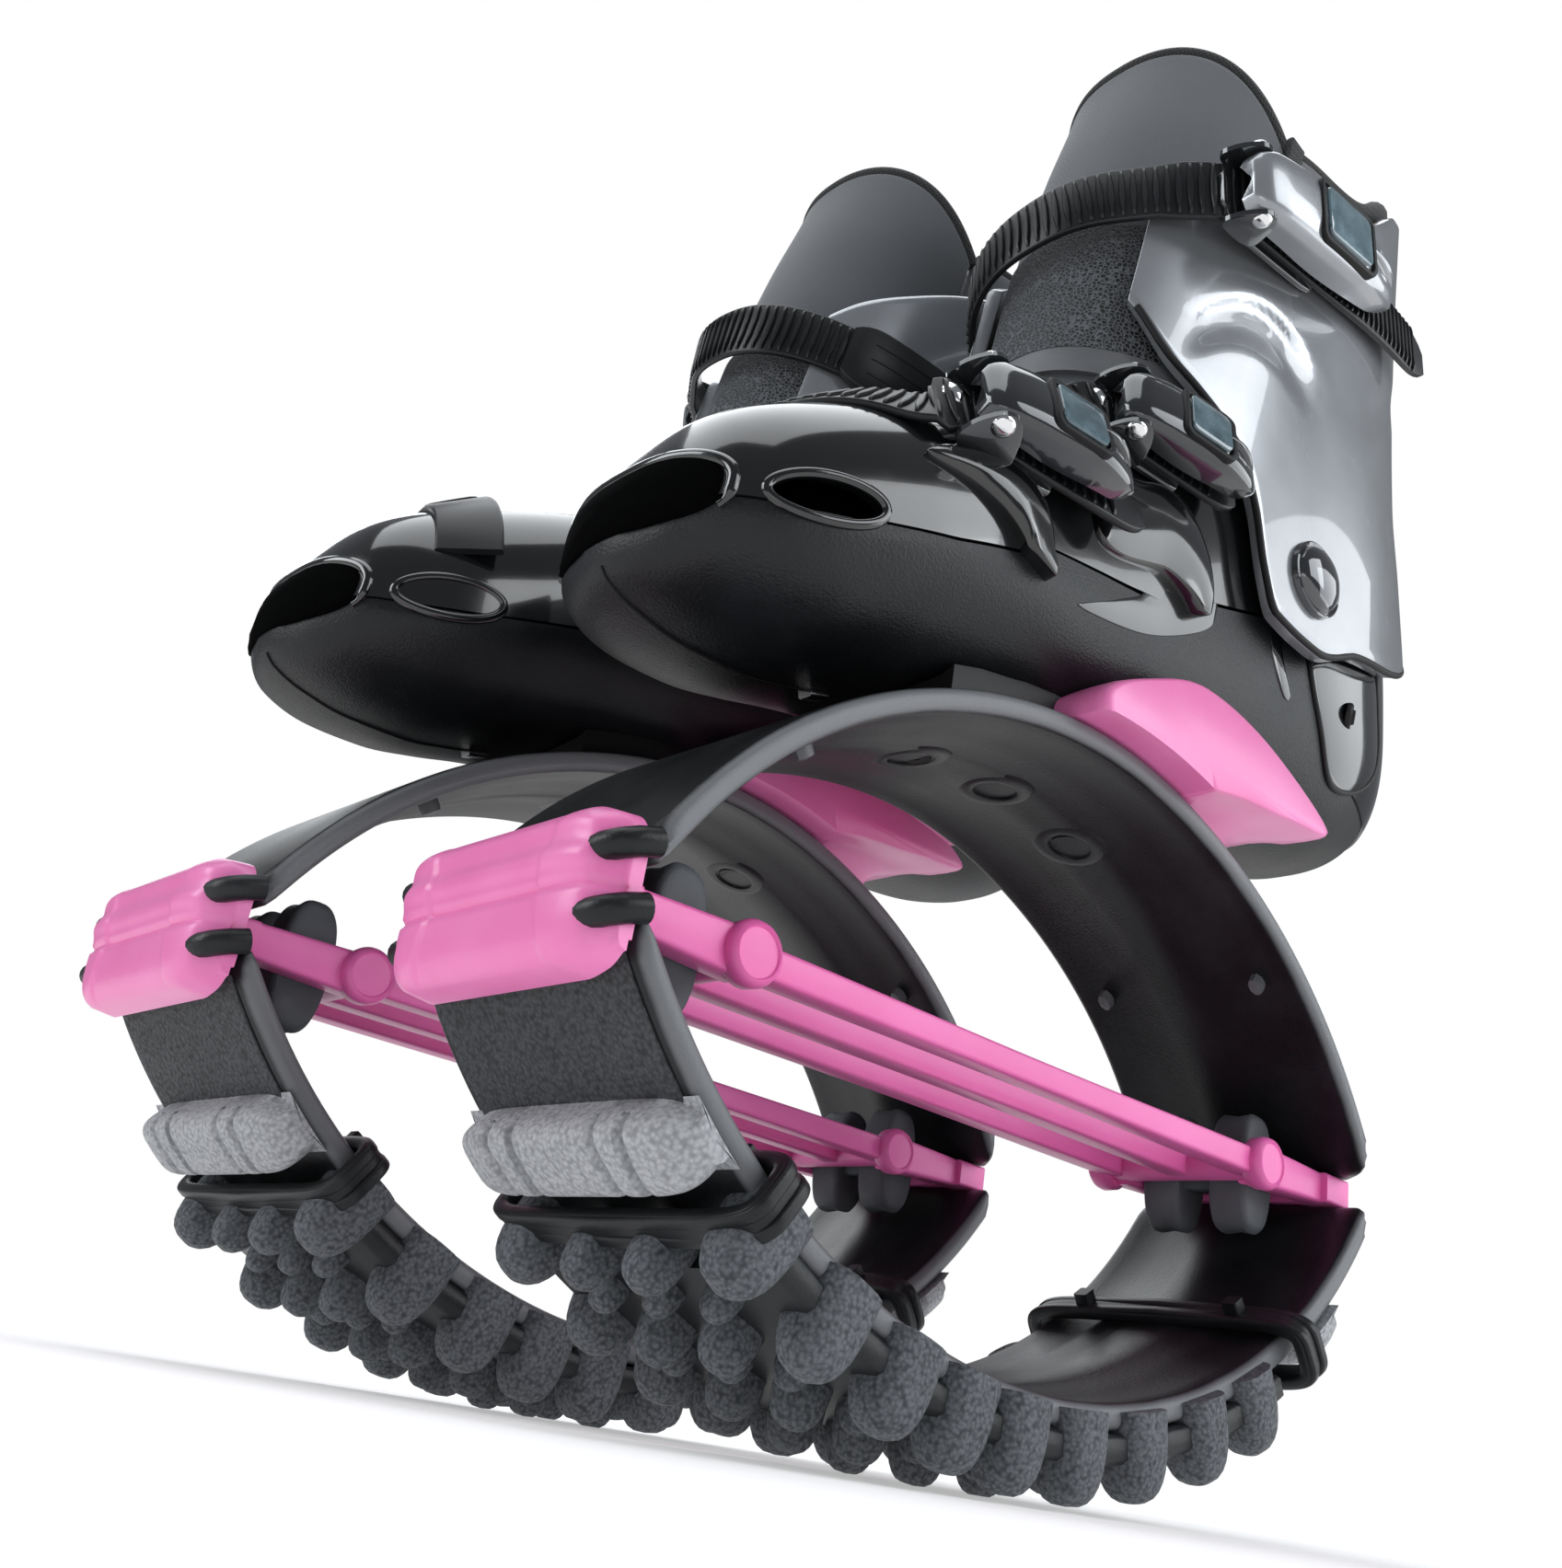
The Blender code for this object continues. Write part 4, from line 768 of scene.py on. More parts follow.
mesh_cloth = Finish("tongue patch, black diamond mesh", (0.020, 0.020, 0.022), 0.8)
holes = mesh_cloth.cells(760, "DISTANCE_TO_EDGE").clipped(0.06, 0.22)
mesh_cloth.feed(Base_Color=mesh_cloth.mix(holes, (0.110, 0.118, 0.130), (0.002, 0.002, 0.003)),
                Roughness=0.9 - holes * 0.3).relief(1 - holes, 0.0006)

chrome = Finish("pins and rivets, bright steel", (0.78, 0.79, 0.80), 0.12, 1.0)
brushed = chrome.noise(420, 3.0)
chrome.feed(Roughness=brushed * 0.16 + 0.06).relief(brushed, 0.00002)

tab_smoke = Finish("release tab, smoky blue", (0.105, 0.185, 0.225), 0.10, 0.0, 1.0,
                   Transmission_Weight=0.35, IOR=1.46, Coat_Roughness=0.03)
cloud = tab_smoke.noise(120, 4.0)
milky = tab_smoke.mix(cloud.clipped(0.35, 0.7), (0.070, 0.130, 0.165), (0.190, 0.300, 0.350))
tab_smoke.feed(Base_Color=milky, Roughness=cloud * 0.12 + 0.05).relief(cloud, 0.00010)
rivet_gloss = polished("cuff rivet, polished dark", (0.070, 0.072, 0.078), 0.08, 0.75)
print(len(bpy.data.materials), "finishes")

# %% [markdown]
# ## The two arcs
# Each oval is two bowed strips, 76 mm wide and 6 mm thick, whose ends meet at flat lips.
# A strip like this is one section carried along one line, so a third node tree does it:
# the line is the arc's own curve, the section a rounded bar with a raised band inside.
# The ends are narrowed afterwards, and the bolts' holes are cut through the crown.

# %% Arcs as a section on a line
carried = Tree("section on a line", Section="Object")
section = carried.add("ObjectInfo", {"Object": carried.take["Section"]})
line = carried.add("MeshToCurve", {"Mesh": carried.take["Geometry"]})
carried.give(carried.add("CurveToMesh", {
    "Curve": carried.add("SetCurveNormal", {"Curve": line}, mode="Z_UP"),
    "Profile Curve": carried.add("MeshToCurve", {"Mesh": section}), "Fill Caps": True}))


def eased(line, times):
    """The line with its bends rounded, its two ends kept."""
    for _ in range(times):
        line[1:-1] = line[1:-1] * 0.5 + (line[:-2] + line[2:]) * 0.25
    return line


def arc_line(upper):
    """Points (x, z) of an arc's inner line and its two lips."""
    t = np.linspace(-1, 1, 97)
    x = arc_half * (0.25 * np.sin(pi / 2 * t) + 0.75 * t)
    more = np.linspace(1, 0.2, 5) * lip_length
    base = np.full(5, mouth_z if upper else floor_lip_z)
    z = np.concatenate([base, arc_height(upper, x), base])
    return eased(pairs(np.concatenate([-arc_half - more, x, arc_half + more[::-1]]), z), 2)


def strip(name, line, section, finish):
    """A closed (out, depth) section along an (x, z) line in the boot's middle."""
    holder = wire("section", [(out, depth, 0.0) for out, depth in section], closed=True)
    piece = grown(wire(name, at(line[:, 0], 0, line[:, 1])), carried, finish, Section=holder)
    bpy.data.objects.remove(holder)
    return piece


def edge_highlight_mask(piece, half, width):
    """Stores how near each point is to the strip's two edges, where the arc's finish paints a highlight."""
    points = np.empty(len(piece.data.vertices) * 3)
    piece.data.vertices.foreach_get("co", points)
    near = 1 - (half - np.abs(points.reshape(-1, 3)[:, 1] + half_apart)) / width
    store(piece, "edge", "FLOAT", "value", np.clip(near, 0, 1))


def arc_section(away):
    half, wall, r = arc_width / 2, arc_wall, 0.0024
    band, slope, rise = 0.017, 0.004, 0.0012
    inner = [(-half + r + 0.004, 0), (-band - slope, 0), (-band, -rise), (-0.009, -rise),
             (-0.008, -rise - 0.0005), (0.008, -rise - 0.0005), (0.009, -rise), (band, -rise),
             (band + slope, 0), (half - r - 0.004, 0)]
    right = [(half - r + r * sin(a), r - r * cos(a)) for a in np.linspace(0, pi / 2, 5)]
    right += [(half - r + r * cos(a), wall - r + r * sin(a)) for a in np.linspace(0, pi / 2, 5)]
    left = [(-out, depth) for out, depth in right[::-1]]
    return [(out, depth * away) for out, depth in inner + right + left]


bolt_places = (-bolt_spacing, 0.0, bolt_spacing)
for upper in (True, False):
    name = "upper_arc" if upper else "lower_arc"
    piece = strip(name, arc_line(upper), arc_section(-1 if upper else 1), arc_finish)
    for vertex in piece.data.vertices:
        past = max(abs(vertex.co.x - left_along) - arc_half, 0) / lip_length
        vertex.co.y = -half_apart + (vertex.co.y + half_apart) * (1 - 0.24 * past)
    if upper:
        rod = [(0.0058, 0), (0.0058, 0.04)]
        spots = [at(x, 0, crown_z - 0.02).ravel() for x in bolt_places]
        cut(piece, [turned_part("drill", spot, (0, 0, 1), rod, 24) for spot in spots])
    edge_highlight_mask(piece, arc_width / 2, 0.0045)
    bend = crown_bend if upper else tread_bend
    fit(piece, f"{name}_strip", arc_finish, bend, (name,), sharp=30)

# %% [markdown]
# Small things sit on the arcs: three dished bolt seats under the crown, four square pegs
# inside its two legs, and a rolled bead where each lip leaves the pink cap. The pegs and
# the seats are copies of one shape each, set out with the node tree.

# %% Bolt seats, pegs and beads
def arc_frame(upper, x, lift=0.0):
    """A place on an arc's inner face, with the run and the inward direction there."""
    step = 0.0005
    rise = (arc_height(upper, x + step) - arc_height(upper, x - step)) / (2 * step)
    run = np.array([1.0, 0.0, rise]) / np.hypot(1, rise)
    inward = np.array([rise, 0, -1.0]) / np.hypot(1, rise) * (1 if upper else -1)
    return run, inward, np.array([x, 0, arc_height(upper, x)]) + inward * lift


def inside_crown(name, shape, spots, size, lift, finish):
    """Copies of a shape on the inner face of the upper arc."""
    places, axes = [], []
    for x, out in spots:
        run, inward, point = arc_frame(True, x, lift)
        places.append(at(point[0], out, point[2]).ravel())
        axes.append((run, np.cross(inward, run), inward))
    return repeat(name, shape, places, axes, size, finish)


seat_profile = [(0.0060, 0.0003), (0.0062, 0.0010), (0.0078, 0.0012), (0.0105, 0.0006), (0.0118, -0.0004),
                (0.0060, -0.0004)]
seat_ring = turned_part("seat", (0, 0, 0), (0, 0, 1), seat_profile, 32)
seats = inside_crown("seats", seat_ring, [(x, 0) for x in bolt_places], (1, 1, 1), 0.0011, arc_satin)
fit(seats, "bolt_seats", arc_satin, "boot")
spots = [(x, out) for x in (-0.092, 0.090) for out in (-0.026, 0.026)]
pegs = inside_crown("pegs", pebble("peg", 6.0, 4, 8), spots, (0.0055, 0.0035, 0.0040), -0.0003, edge_grey)
fit(pegs, "upper_arc_pegs", edge_grey, crown_bend)


def lip_hook(high, side):
    """The arc's rolled lip where it shows in the cap's notch."""
    x = np.array([-0.1325, -0.1365, -0.1395, -0.1408, -0.1408])
    out = np.array([0.0388, 0.0384, 0.0372, 0.0348, 0.0300]) * side
    lift = np.array([0.0030, 0.0018, 0.0006, 0.0, 0.0])
    return trim("hook", at(x, out, high + lift), 0.0030, arc_satin, sides=16)


beads = [lip_hook(high, side) for high in (0.0998, 0.0868) for side in (-1, 1)]
fit(joined("beads", beads), "lip_beads", arc_satin, "spring")

# %% [markdown]
# The front face of the lower arc, between the cap and the tread, is moulded with a
# leathery grain. It is a thin skin of its own, a fraction of a millimetre over the strip.

# %% Grained front of the lower arc
across = np.linspace(-0.0345, 0.0345, 30)
sheets = []
for lift in (0.0066, 0.0058):
    points = [arc_frame(False, x, -lift)[2] for x in np.linspace(-0.1275, -0.1060, 24)]
    sheets.append([at(x, across, z) for x, _, z in points])
skin = soften(thick_sheet("front skin", *sheets), 0.0004)
fit(skin, "lower_arc_grain", toe_satin, tread_bend)

# %% [markdown]
# ## The tread
# A rubber strip follows the outside of the lower arc. Its rows carry two and three
# rounded lugs by turns, and each row ends in a large lug that wraps round the edge.
# The strip is a section on the arc's line. The lugs are copies of one pebble, and what
# would pass the floor is pressed flat against it, as the rubber is under the boot.

# %% Tread strip and lugs
tread_gap = 0.0006


def under_arc(x, out, depth):
    """Below the lower arc's outer face by a depth, square to it."""
    run, inward, point = arc_frame(False, x, -(arc_wall + tread_gap + depth))
    return at(point[0], out, point[2]).ravel(), run, inward


half = arc_width / 2
x = arc_half * np.linspace(-0.63, 0.63, 97)
line = pairs(x, arc_height(False, x))
edge_section = [(half - 0.0004, 0.0062), (half + 0.0010, 0.0050), (half + 0.0012, 0.0008),
                (half + 0.0002, -0.0002)]
edge_section = [(a, b + arc_wall + tread_gap) for a, b in edge_section]
strip_section = edge_section + [(-a, b) for a, b in edge_section[::-1]]
base_strip = strip("tread strip", line, strip_section, arc_satin)
inner_lugs, inner_sizes, side_lugs = [], [], []
places = np.array([-0.0860, -0.0660, -0.0465, -0.0290, -0.0120, 0.0075, 0.0290, 0.0520, 0.0720])
for x, ahead in zip(places, np.append(places[1:], 0.0840)):
    for out in (-0.0105, 0.0105):
        inner_lugs.append((x, out))
        inner_sizes.append((0.0118, 0.0112, 0.0140))
    for out in (-0.0185, 0.0, 0.0185):
        inner_lugs.append(((x + ahead) / 2, out))
        inner_sizes.append((0.0074, 0.0084, 0.0104))
    side_lugs += [(x, -0.0346), (x, 0.0346)]


def lug_set(name, shape, spots, sizes, sink):
    """Lugs that stand out from the strip, their feet sunk into it."""
    where, axes = [], []
    for x, out in spots:
        point, run, inward = under_arc(x, out, 0.0022 - sink)
        where.append(point)
        axes.append((run, np.cross(-inward, run), -inward))
    return repeat(name, shape, where, axes, sizes, tread_rubber)


lugs = lug_set("inner lugs", pebble("lug", 3.0, 9, 20), inner_lugs, inner_sizes, 0.0)
edge_blocks = lug_set("side lugs", pebble("lug", 3.0, 10, 24), side_lugs, (0.0162, 0.0150, 0.0200), 0.0072)
fit(base_strip, "tread_strip", arc_satin, tread_bend, sharp=60)
joined_tread = joined("tread", [lugs, edge_blocks])
for vertex in joined_tread.data.vertices:
    vertex.co.z = max(vertex.co.z, 0.0)
fit(joined_tread, "tread_lugs", tread_rubber, tread_bend, ("tread_sole",), sharp=60)
print("lugs:", len(inner_lugs), "inside,", len(side_lugs), "at the sides")

# %% [markdown]
# The tread ends in a pad at the front and at the rear, a paler block with two straight
# and two slanted cuts. A dense grid with the cuts pressed in gives their soft shoulders.

# %% Tread pads
pad_place, pad_half_run, pad_half_out, pad_depth = 0.1030, 0.0062, 0.0392, 0.0098
cut_half, cut_depth = 0.0017, 0.0042


def pad(name, end):
    grid_rows = []
    turn = np.linspace(0, pi, 17)
    for out in np.linspace(-pad_half_out, pad_half_out, 110):
        share = abs(out) / 0.0395
        shoulder = max((1 - share ** 8) ** 0.5, 0.35)
        ring = []
        for a in turn:
            reach = signed(np.cos(a), 0.45)
            deep = np.abs(np.sin(a)) ** 0.45
            x = end * (pad_place - pad_half_run * reach * max(shoulder, 0.55))
            slanted = 0.0225 + 0.10 * (x * end - pad_place)
            groove = sum(bump(c, cut_half, out) for c in (0.014, -0.014, slanted, -slanted)) * (deep > 0.5)
            depth = pad_depth * deep * max(shoulder, 0.25) - cut_depth * groove
            ring.append(under_arc(x, out, depth)[0])
        for a in turn[-2:0:-1]:
            x = end * pad_place - end * pad_half_run * np.cos(a) * 0.98
            ring.append(under_arc(x, out, -0.0003)[0])
        grid_rows.append(ring)
    return rings(name, np.array(grid_rows))


pads = joined("pads", [pad("front pad", -1), pad("rear pad", 1)])
fit(pads, "tread_pads", pad_rubber, tread_bend, sharp=50)

# %% [markdown]
# ## Clamps
# A two-layer band loops round the arc and the end of the tread at each side. It is a
# rounded section on a rounded square path, with a fine light line where its two layers
# meet and a pair of pegs on the bar that crosses the inside of the arc.

# %% Clamp bands
inner_depth, outer_depth, half_out, clamp_place = -0.0030, 0.0128, 0.0424, 0.0905
turn = full_turn(96)
outs = half_out * signed(np.cos(turn), 0.28)
middle = (inner_depth + outer_depth) / 2
depths = (middle + (outer_depth - inner_depth) / 2 * signed(np.sin(turn), 0.42))[:, None]
for label, x in (("front", -clamp_place), ("rear", clamp_place)):
    run, inward, point = arc_frame(False, x)
    loop = point - inward * depths
    path = at(loop[:, 0], outs, loop[:, 2])
    outward = path - at(*(point - inward * middle)).ravel()
    layers = [bar("band", path, outward, round_box(0.0041, 0.0018, 0.0012), closed=True)]
    for shift in (-0.0024, 0.0024):
        layers.append(bar("layer", path + unit(outward) * 0.0010 + run * shift, outward,
                          round_box(0.0015, 0.0016, 0.0008), closed=True))
    for out in (-0.024, 0.024):
        spot = at(*(point + inward * 0.0042 + np.array([0, out, 0]))).ravel()
        layers.append(bar("peg", [spot, spot + inward * 0.0038], run, round_box(0.0022, 0.0022, 0.0006)))
    fit(joined("clamp", layers), f"{label}_clamp_band", clamp_black, tread_bend,
        (f"{label}_clamp",))

# %% [markdown]
# ## The tension spring
# Three elastic bars run from a rod at the front to a rod at the rear. The rods end in
# round knobs, and two arms carry each rod to the lips of the arcs. All of it moulds as
# one piece. The bars are rounded boxes, thinner in the middle where they stretch.

# %% Elastic bars, rods and arms
knob_profile = [(0.0060, -0.0016), (0.0070, -0.0004), (0.0072, 0.0030), (0.0066, 0.0044),
                (0.0056, 0.0050), (0.0052, 0.0045), (0.0020, 0.0046), (0.0, 0.0046)]
rod_place, arm_out = 0.096, 0.022
elastic = []
x = np.linspace(-0.098, 0.098, 33)
slim = 1 - 0.10 * bump(0, 0.09, x)
for out in (-arm_out, 0.0, arm_out):
    elastic.append(bar("bar", at(x, out, hinge_height), (0, 0, 1), round_box(0.0040, 0.0036, 0.0012), slim))
for end in (-1, 1):
    outs = np.linspace(-0.0262, 0.0262, 9)
    elastic.append(bar("rod", at(end * rod_place, outs, hinge_height), (0, 0, 1), circle(0.0045, 20)))
    for side in (-1, 1):
        centre = at(end * rod_place, side * 0.0240, hinge_height).ravel()
        elastic.append(turned_part("knob", centre, (0, -side, 0), knob_profile))
        xs = np.linspace(rod_place, 0.1290, 9) * end
        elastic.append(bar("arm", at(xs, side * arm_out, hinge_height), (0, 0, 1),
                           round_box(0.0040, 0.0055, 0.0014), pairs(1, np.linspace(1.0, 0.78, 9))))
    foot = at(np.linspace(0.1262, 0.1379, 5) * end, 0, hinge_height)
    elastic.append(bar("foot", foot, (0, 0, 1), round_box(0.0280, 0.0041, 0.0010)))
fit(joined("spring", elastic), "elastic_bars", pink_elastic, "spring", ("tension_spring",))

# %% [markdown]
# ## Bumpers
# Behind each rod stands a pair of thick rubber discs, rounded at top and bottom, joined
# by a short bar. They stop the two arcs from meeting when the boot lands hard.

# %% Bumper discs
bumper_place, disc_out = 0.1083, 0.011
turn = full_turn(48)
outline = pairs(0.0074 * signed(np.cos(turn), 0.7), 0.0168 * signed(np.sin(turn), 0.8))
disc_steps = [(-0.0060, 0.60), (-0.0060, 0.86), (-0.0054, 0.95), (-0.0042, 1.0), (0.0, 0.965),
              (0.0042, 1.0), (0.0054, 0.95), (0.0060, 0.86), (0.0060, 0.60)]
for label, end in (("front", -1), ("rear", 1)):
    middle = end * bumper_place
    pair = []
    for side in (-1, 1):
        grid = []
        for out, size in disc_steps:
            along, up = (outline * size).T
            grid.append(at(middle + along, side * disc_out + out, hinge_height + up))
        pair.append(rings("disc", grid))
    link_line = at(middle, np.linspace(-disc_out, disc_out, 3), hinge_height)
    pair.append(bar("link", link_line, (0, 0, 1), round_box(0.0037, 0.0052, 0.0012)))
    fit(joined("pair", pair), f"{label}_bumper_discs", bumper_grey, "spring",
        (f"{label}_bumpers",))

# %% [markdown]
# ## The front cap
# A pink cap clips over the two front lips and holds them to the spring. Its face has two
# rounded ridges above and a smooth lobe below, and it thins towards its sides. Stations
# across the boot each hold one C-shaped section, with its mouth towards the arcs.

# %% Cap
cap_half, cap_back, cap_mouth = 0.0376, -0.1342, -0.1375
cap_nose, cap_tall = 0.0104, 0.0165


def cap_ring(a):
    """One C-shaped section, from -1 on the inner side to 1 on the buckle side."""
    side = abs(a)
    out = cap_half * np.sign(a) * side
    close = max(0.62, (1 - max(0.0, (side - 0.88) / 0.12) ** 2) ** 0.5 if side < 1 else 0.62)
    nose = (1 - 0.80 * side ** 7) ** 0.5 if side < 1 else 0.44
    tall = cap_tall * (1 - 0.14 * soft(0.72, 1.0, side)) * (0.62 + 0.38 * close)
    u = np.linspace(1, -1, 45)
    profile = (1 - np.abs(u) ** 3.4) ** (1 / 3.4)
    ridge = 0.0010 * (bump(0.72, 0.24, u) + bump(0.24, 0.22, u)) * soft(1.0, 0.82, side)
    step = 0.0007 * soft(0.50, 0.54, side - 0.10 * np.abs(u)) * soft(0.98, 0.86, side)
    valley = 0.0011 * bump(-0.06, 0.07, u)
    x = cap_back - (cap_nose * nose * close) * profile - (ridge + step - valley) * profile ** 2
    z = hinge_height - 0.0006 + tall * signed(u, 0.9)
    notch = 0.0040 * soft(0.55, 1.0, side)
    mouth_x = np.array([cap_back, cap_mouth + notch, cap_mouth + notch, cap_back])
    mouth = np.array([0.0835, 0.0835, 0.1045, 0.1045])
    return at(np.concatenate([x, mouth_x]), out, np.concatenate([z, mouth]))


cap_shares = np.concatenate([np.linspace(-1, -0.8, 12), np.linspace(-0.78, 0.78, 70),
                             np.linspace(0.8, 1, 12)])
cap = rings("cap", [cap_ring(a) for a in cap_shares])
fit(cap, "front_cap_shell", pink_shell, "spring", ("front_hinge_cap",), sharp=48)

# %% [markdown]
# ## The boot hull
# The foot of the boot is a lower shell of satin plastic and a polished upper shell, parted
# by a line that climbs towards the heel. Both are the same hull. At each station the
# parting line's height gives the turn where one shell ends and the other begins, so each
# shell is a grid that stops exactly at the line. A wall is added after.

# %% Hull stations
def turn_at(share, height):
    """The turn on the buckle side where the hull passes a height."""
    bottom, top, level, _ = np.moveaxis(through(hull_shares, share), -1, 0)
    over = np.clip((height - level) / (top - level), 0, 1) ** (1 / 0.75)
    under = np.clip((level - height) / (level - bottom), 0, 1) ** (1 / keel(share, -1.0))
    return pi - np.arcsin(np.where(height > level, over, -under))


def line_height(table, share):
    table = np.array(table)
    return np.interp(share, table[:, 0], table[:, 1])


k = np.linspace(0, 1, 150)
at_steps = [0.302, 0.304, 0.306, 0.472, 0.474, 0.476]      # where the parting line climbs steeply
stations = np.unique(np.concatenate([0.62 * k + 0.38 * (1 - np.cos(pi * k)) / 2, at_steps]))
split = turn_at(stations, line_height(parting_shares, stations))
collar = line_height(collar_shares, stations)
top = value([(r[0], r[2]) for r in hull_shares], stations)
open_turn = np.where((collar < top) & (stations > 0.28), turn_at(stations, collar), pi / 2)


def hull_sheet(start, end, columns, lift):
    """Grid on the hull between two turns at each station."""
    turn = start[:, None] + (end - start)[:, None] * np.linspace(0, 1, columns)
    return on_hull(stations[:, None], turn, lift)


def with_nose(grid, x, z):
    """Closes the small flat at the toe or heel with a point."""
    tip = np.broadcast_to(at(x, 0.0, z), (1, grid.shape[1], 3))
    return np.concatenate([tip, grid]) if x < 0 else np.concatenate([grid, tip])


def walled(piece, wall):
    """Merges the grid, points it outwards and gives it a wall on its inner side."""
    middle = Vector(at(0.02, 0, 0.225).ravel())
    with editing(piece.data) as work:
        bmesh.ops.remove_doubles(work, verts=work.verts[:], dist=0.00004)
        bmesh.ops.dissolve_degenerate(work, edges=work.edges[:], dist=0.00001)
        bmesh.ops.recalc_face_normals(work, faces=work.faces[:])
        away = (face.normal.dot(face.calc_center_median() - middle) * face.calc_area() for face in work.faces)
        if sum(away) < 0:
            bmesh.ops.reverse_faces(work, faces=work.faces[:])
    step = piece.modifiers.new("wall", "SOLIDIFY")
    step.thickness, step.offset = wall, -1
    return settled(piece)


flat = np.zeros(len(stations))
probe = rings("probe", hull_sheet(flat, flat + 2 * pi, 97, 0.0)[:, :-1])
with editing(probe.data) as work:
    hull_tree = BVHTree.FromBMesh(work)
bpy.data.objects.remove(probe)


def cast(x, out, z, towards):
    """Where a ray meets the hull, in the shared frame."""
    hit = hull_tree.ray_cast(Vector(at(x, out, z).ravel()), Vector(towards))
    return np.array(hit[0]) if hit[0] else at(x, out, z).ravel()


lower_grid = with_nose(hull_sheet(split, 3 * pi - split, 84, 0.0), toe_place - 0.0006, seat_z + 0.0004)
lower_shell = walled(mesh_from("lower shell", lower_grid, quads(*lower_grid.shape[:2])), 0.0034)
fit(soften(lower_shell, 0.0009, 2, 60), "lower_shell_moulded", shell_satin, "boot",
    ("lower_shell",))

# %% [markdown]
# The upper shell opens at the top for the leg, so it is two half grids that meet on the
# ridge in front and part at the collar. An oval vent is cut through each side. The wide
# slot in the nose is not cut: a black patch of painted shade stands in for its opening,
# and each opening gets a rolled lip along its edge.

# %% Upper shell with its vents and painted slot
raised = 0.0005
start = split - 0.0035
buckle_half = hull_sheet(start, open_turn, 40, raised)
inner_half = hull_sheet(pi - start, pi - open_turn, 40, raised)
halves = [with_nose(half, toe_place - 0.0008, seat_z + 0.0068) for half in (buckle_half, inner_half)]
heel_x, heel_z = toe_place + boot_length + 0.0005, seat_z + hull_height * 0.62
halves = [with_nose(half, heel_x, heel_z) for half in halves]
rows, columns = halves[0].shape[:2]
faces = quads(rows, columns) + quads(rows, columns, False, rows * columns)
upper_shell = walled(mesh_from("upper shell", np.concatenate(halves), faces), 0.0032)
slot_middle, slot_half, slot_tall = 0.1888, 0.0300, 0.0094


def slot_edge(size, a):
    """A point on the slot's rounded outline, drawn smaller or larger."""
    c, s = cos(a), sin(a)
    return slot_half * size * signed(c, 0.6), slot_middle + slot_tall * size * signed(s, 0.7)


vent_x, vent_z, vent_long, vent_tall, vent_tilt = -0.1072, 0.1917, 0.0128, 0.0050, radians(12)


def vent_ring(grow):
    """The tilted oval of a side vent."""
    turn = full_turn(48)
    a, b = vent_long * grow * np.cos(turn), (vent_tall + vent_long * (grow - 1)) * np.sin(turn)
    return (vent_x + a * cos(vent_tilt) - b * sin(vent_tilt), vent_z + a * sin(vent_tilt) + b * cos(vent_tilt))


x, z = vent_ring(1.0)
cut(upper_shell, [rings("vent", [at(x, side * out, z) for out in (0.022, 0.040, 0.070)])
                  for side in (-1, 1)])
fit(soften(upper_shell, 0.0009, 2, 60), "upper_shell_moulded", shell_gloss, "boot",
    ("upper_shell",))

# Painted shade: the slot is not cut; this near-black patch, a little proud of the nose within its lip, stands
# in for the dark opening.
shadow_rows = []
for size, lift in ((0.05, 0.0018), (0.35, 0.0018), (0.65, 0.0016), (0.88, 0.0012), (0.98, 0.0009),
                   (1.0, -0.0012), (0.05, -0.0012)):
    row = [cast(-0.2, *slot_edge(size, a), (1, 0, 0)) for a in full_turn(48)]
    shadow_rows.append(np.array(row) - np.array([lift, 0, 0]))
fit(rings("slot floor", shadow_rows), "toe_slot_floor", painted_shade_black, "boot", sharp=60)
# Painted shade: a near-black sheet inside the toe, for the dark that shows through the vents.
core_share = np.array([0.035, 0.05, 0.08, 0.12, 0.17, 0.22, 0.27, 0.30])
core = rings("toe lining", on_hull(core_share[:, None], full_turn(40), -0.0085))
fit(core, "toe_lining", painted_shade_black, "boot")
edge = [cast(-0.2, *slot_edge(1.02, a), (1, 0, 0)) for a in np.linspace(radians(-26), radians(206), 60)]
thinned = np.clip(np.sin(np.linspace(0, pi, 60)) * 4, 0.5, 1.0)
lips = [trim("slot lip", edge, 0.0017, shell_gloss, thinned)]
x, z = vent_ring(1.05)
for side in (-1, 1):
    edge = [cast(a, side * 0.09, b, (0, side, 0)) for a, b in zip(x, z)]
    lips.append(trim("vent lip", edge, 0.0014, shell_gloss, closed=True))
fit(joined("lips", lips), "slot_and_vent_lips", shell_gloss, "boot")

# %% [markdown]
# ## Shapes that lie on the hull
# Two pointed flaps stand proud under the lower buckles, and the lower shell has a lens
# shaped hollow, a narrow slit and a heel panel with a bolt. All of them are outlines drawn
# in the hull's own two directions and filled with a crowned grid, so they follow it.

# %% Patches
def closed_curve(points, count=72):
    """A smooth closed curve through corner points."""
    points = np.array(points)
    n = len(points)
    places = np.linspace(0, n, count, endpoint=False)
    k, s = places.astype(int), (places % 1)[:, None]
    a, b, c, d = (points[(k + j) % n] for j in (-1, 0, 1, 2))
    return 0.5 * (2 * b + (c - a) * s + (2 * a - 5 * b + 4 * c - d) * s**2 + (3 * b - a - 3 * c + d) * s**3)


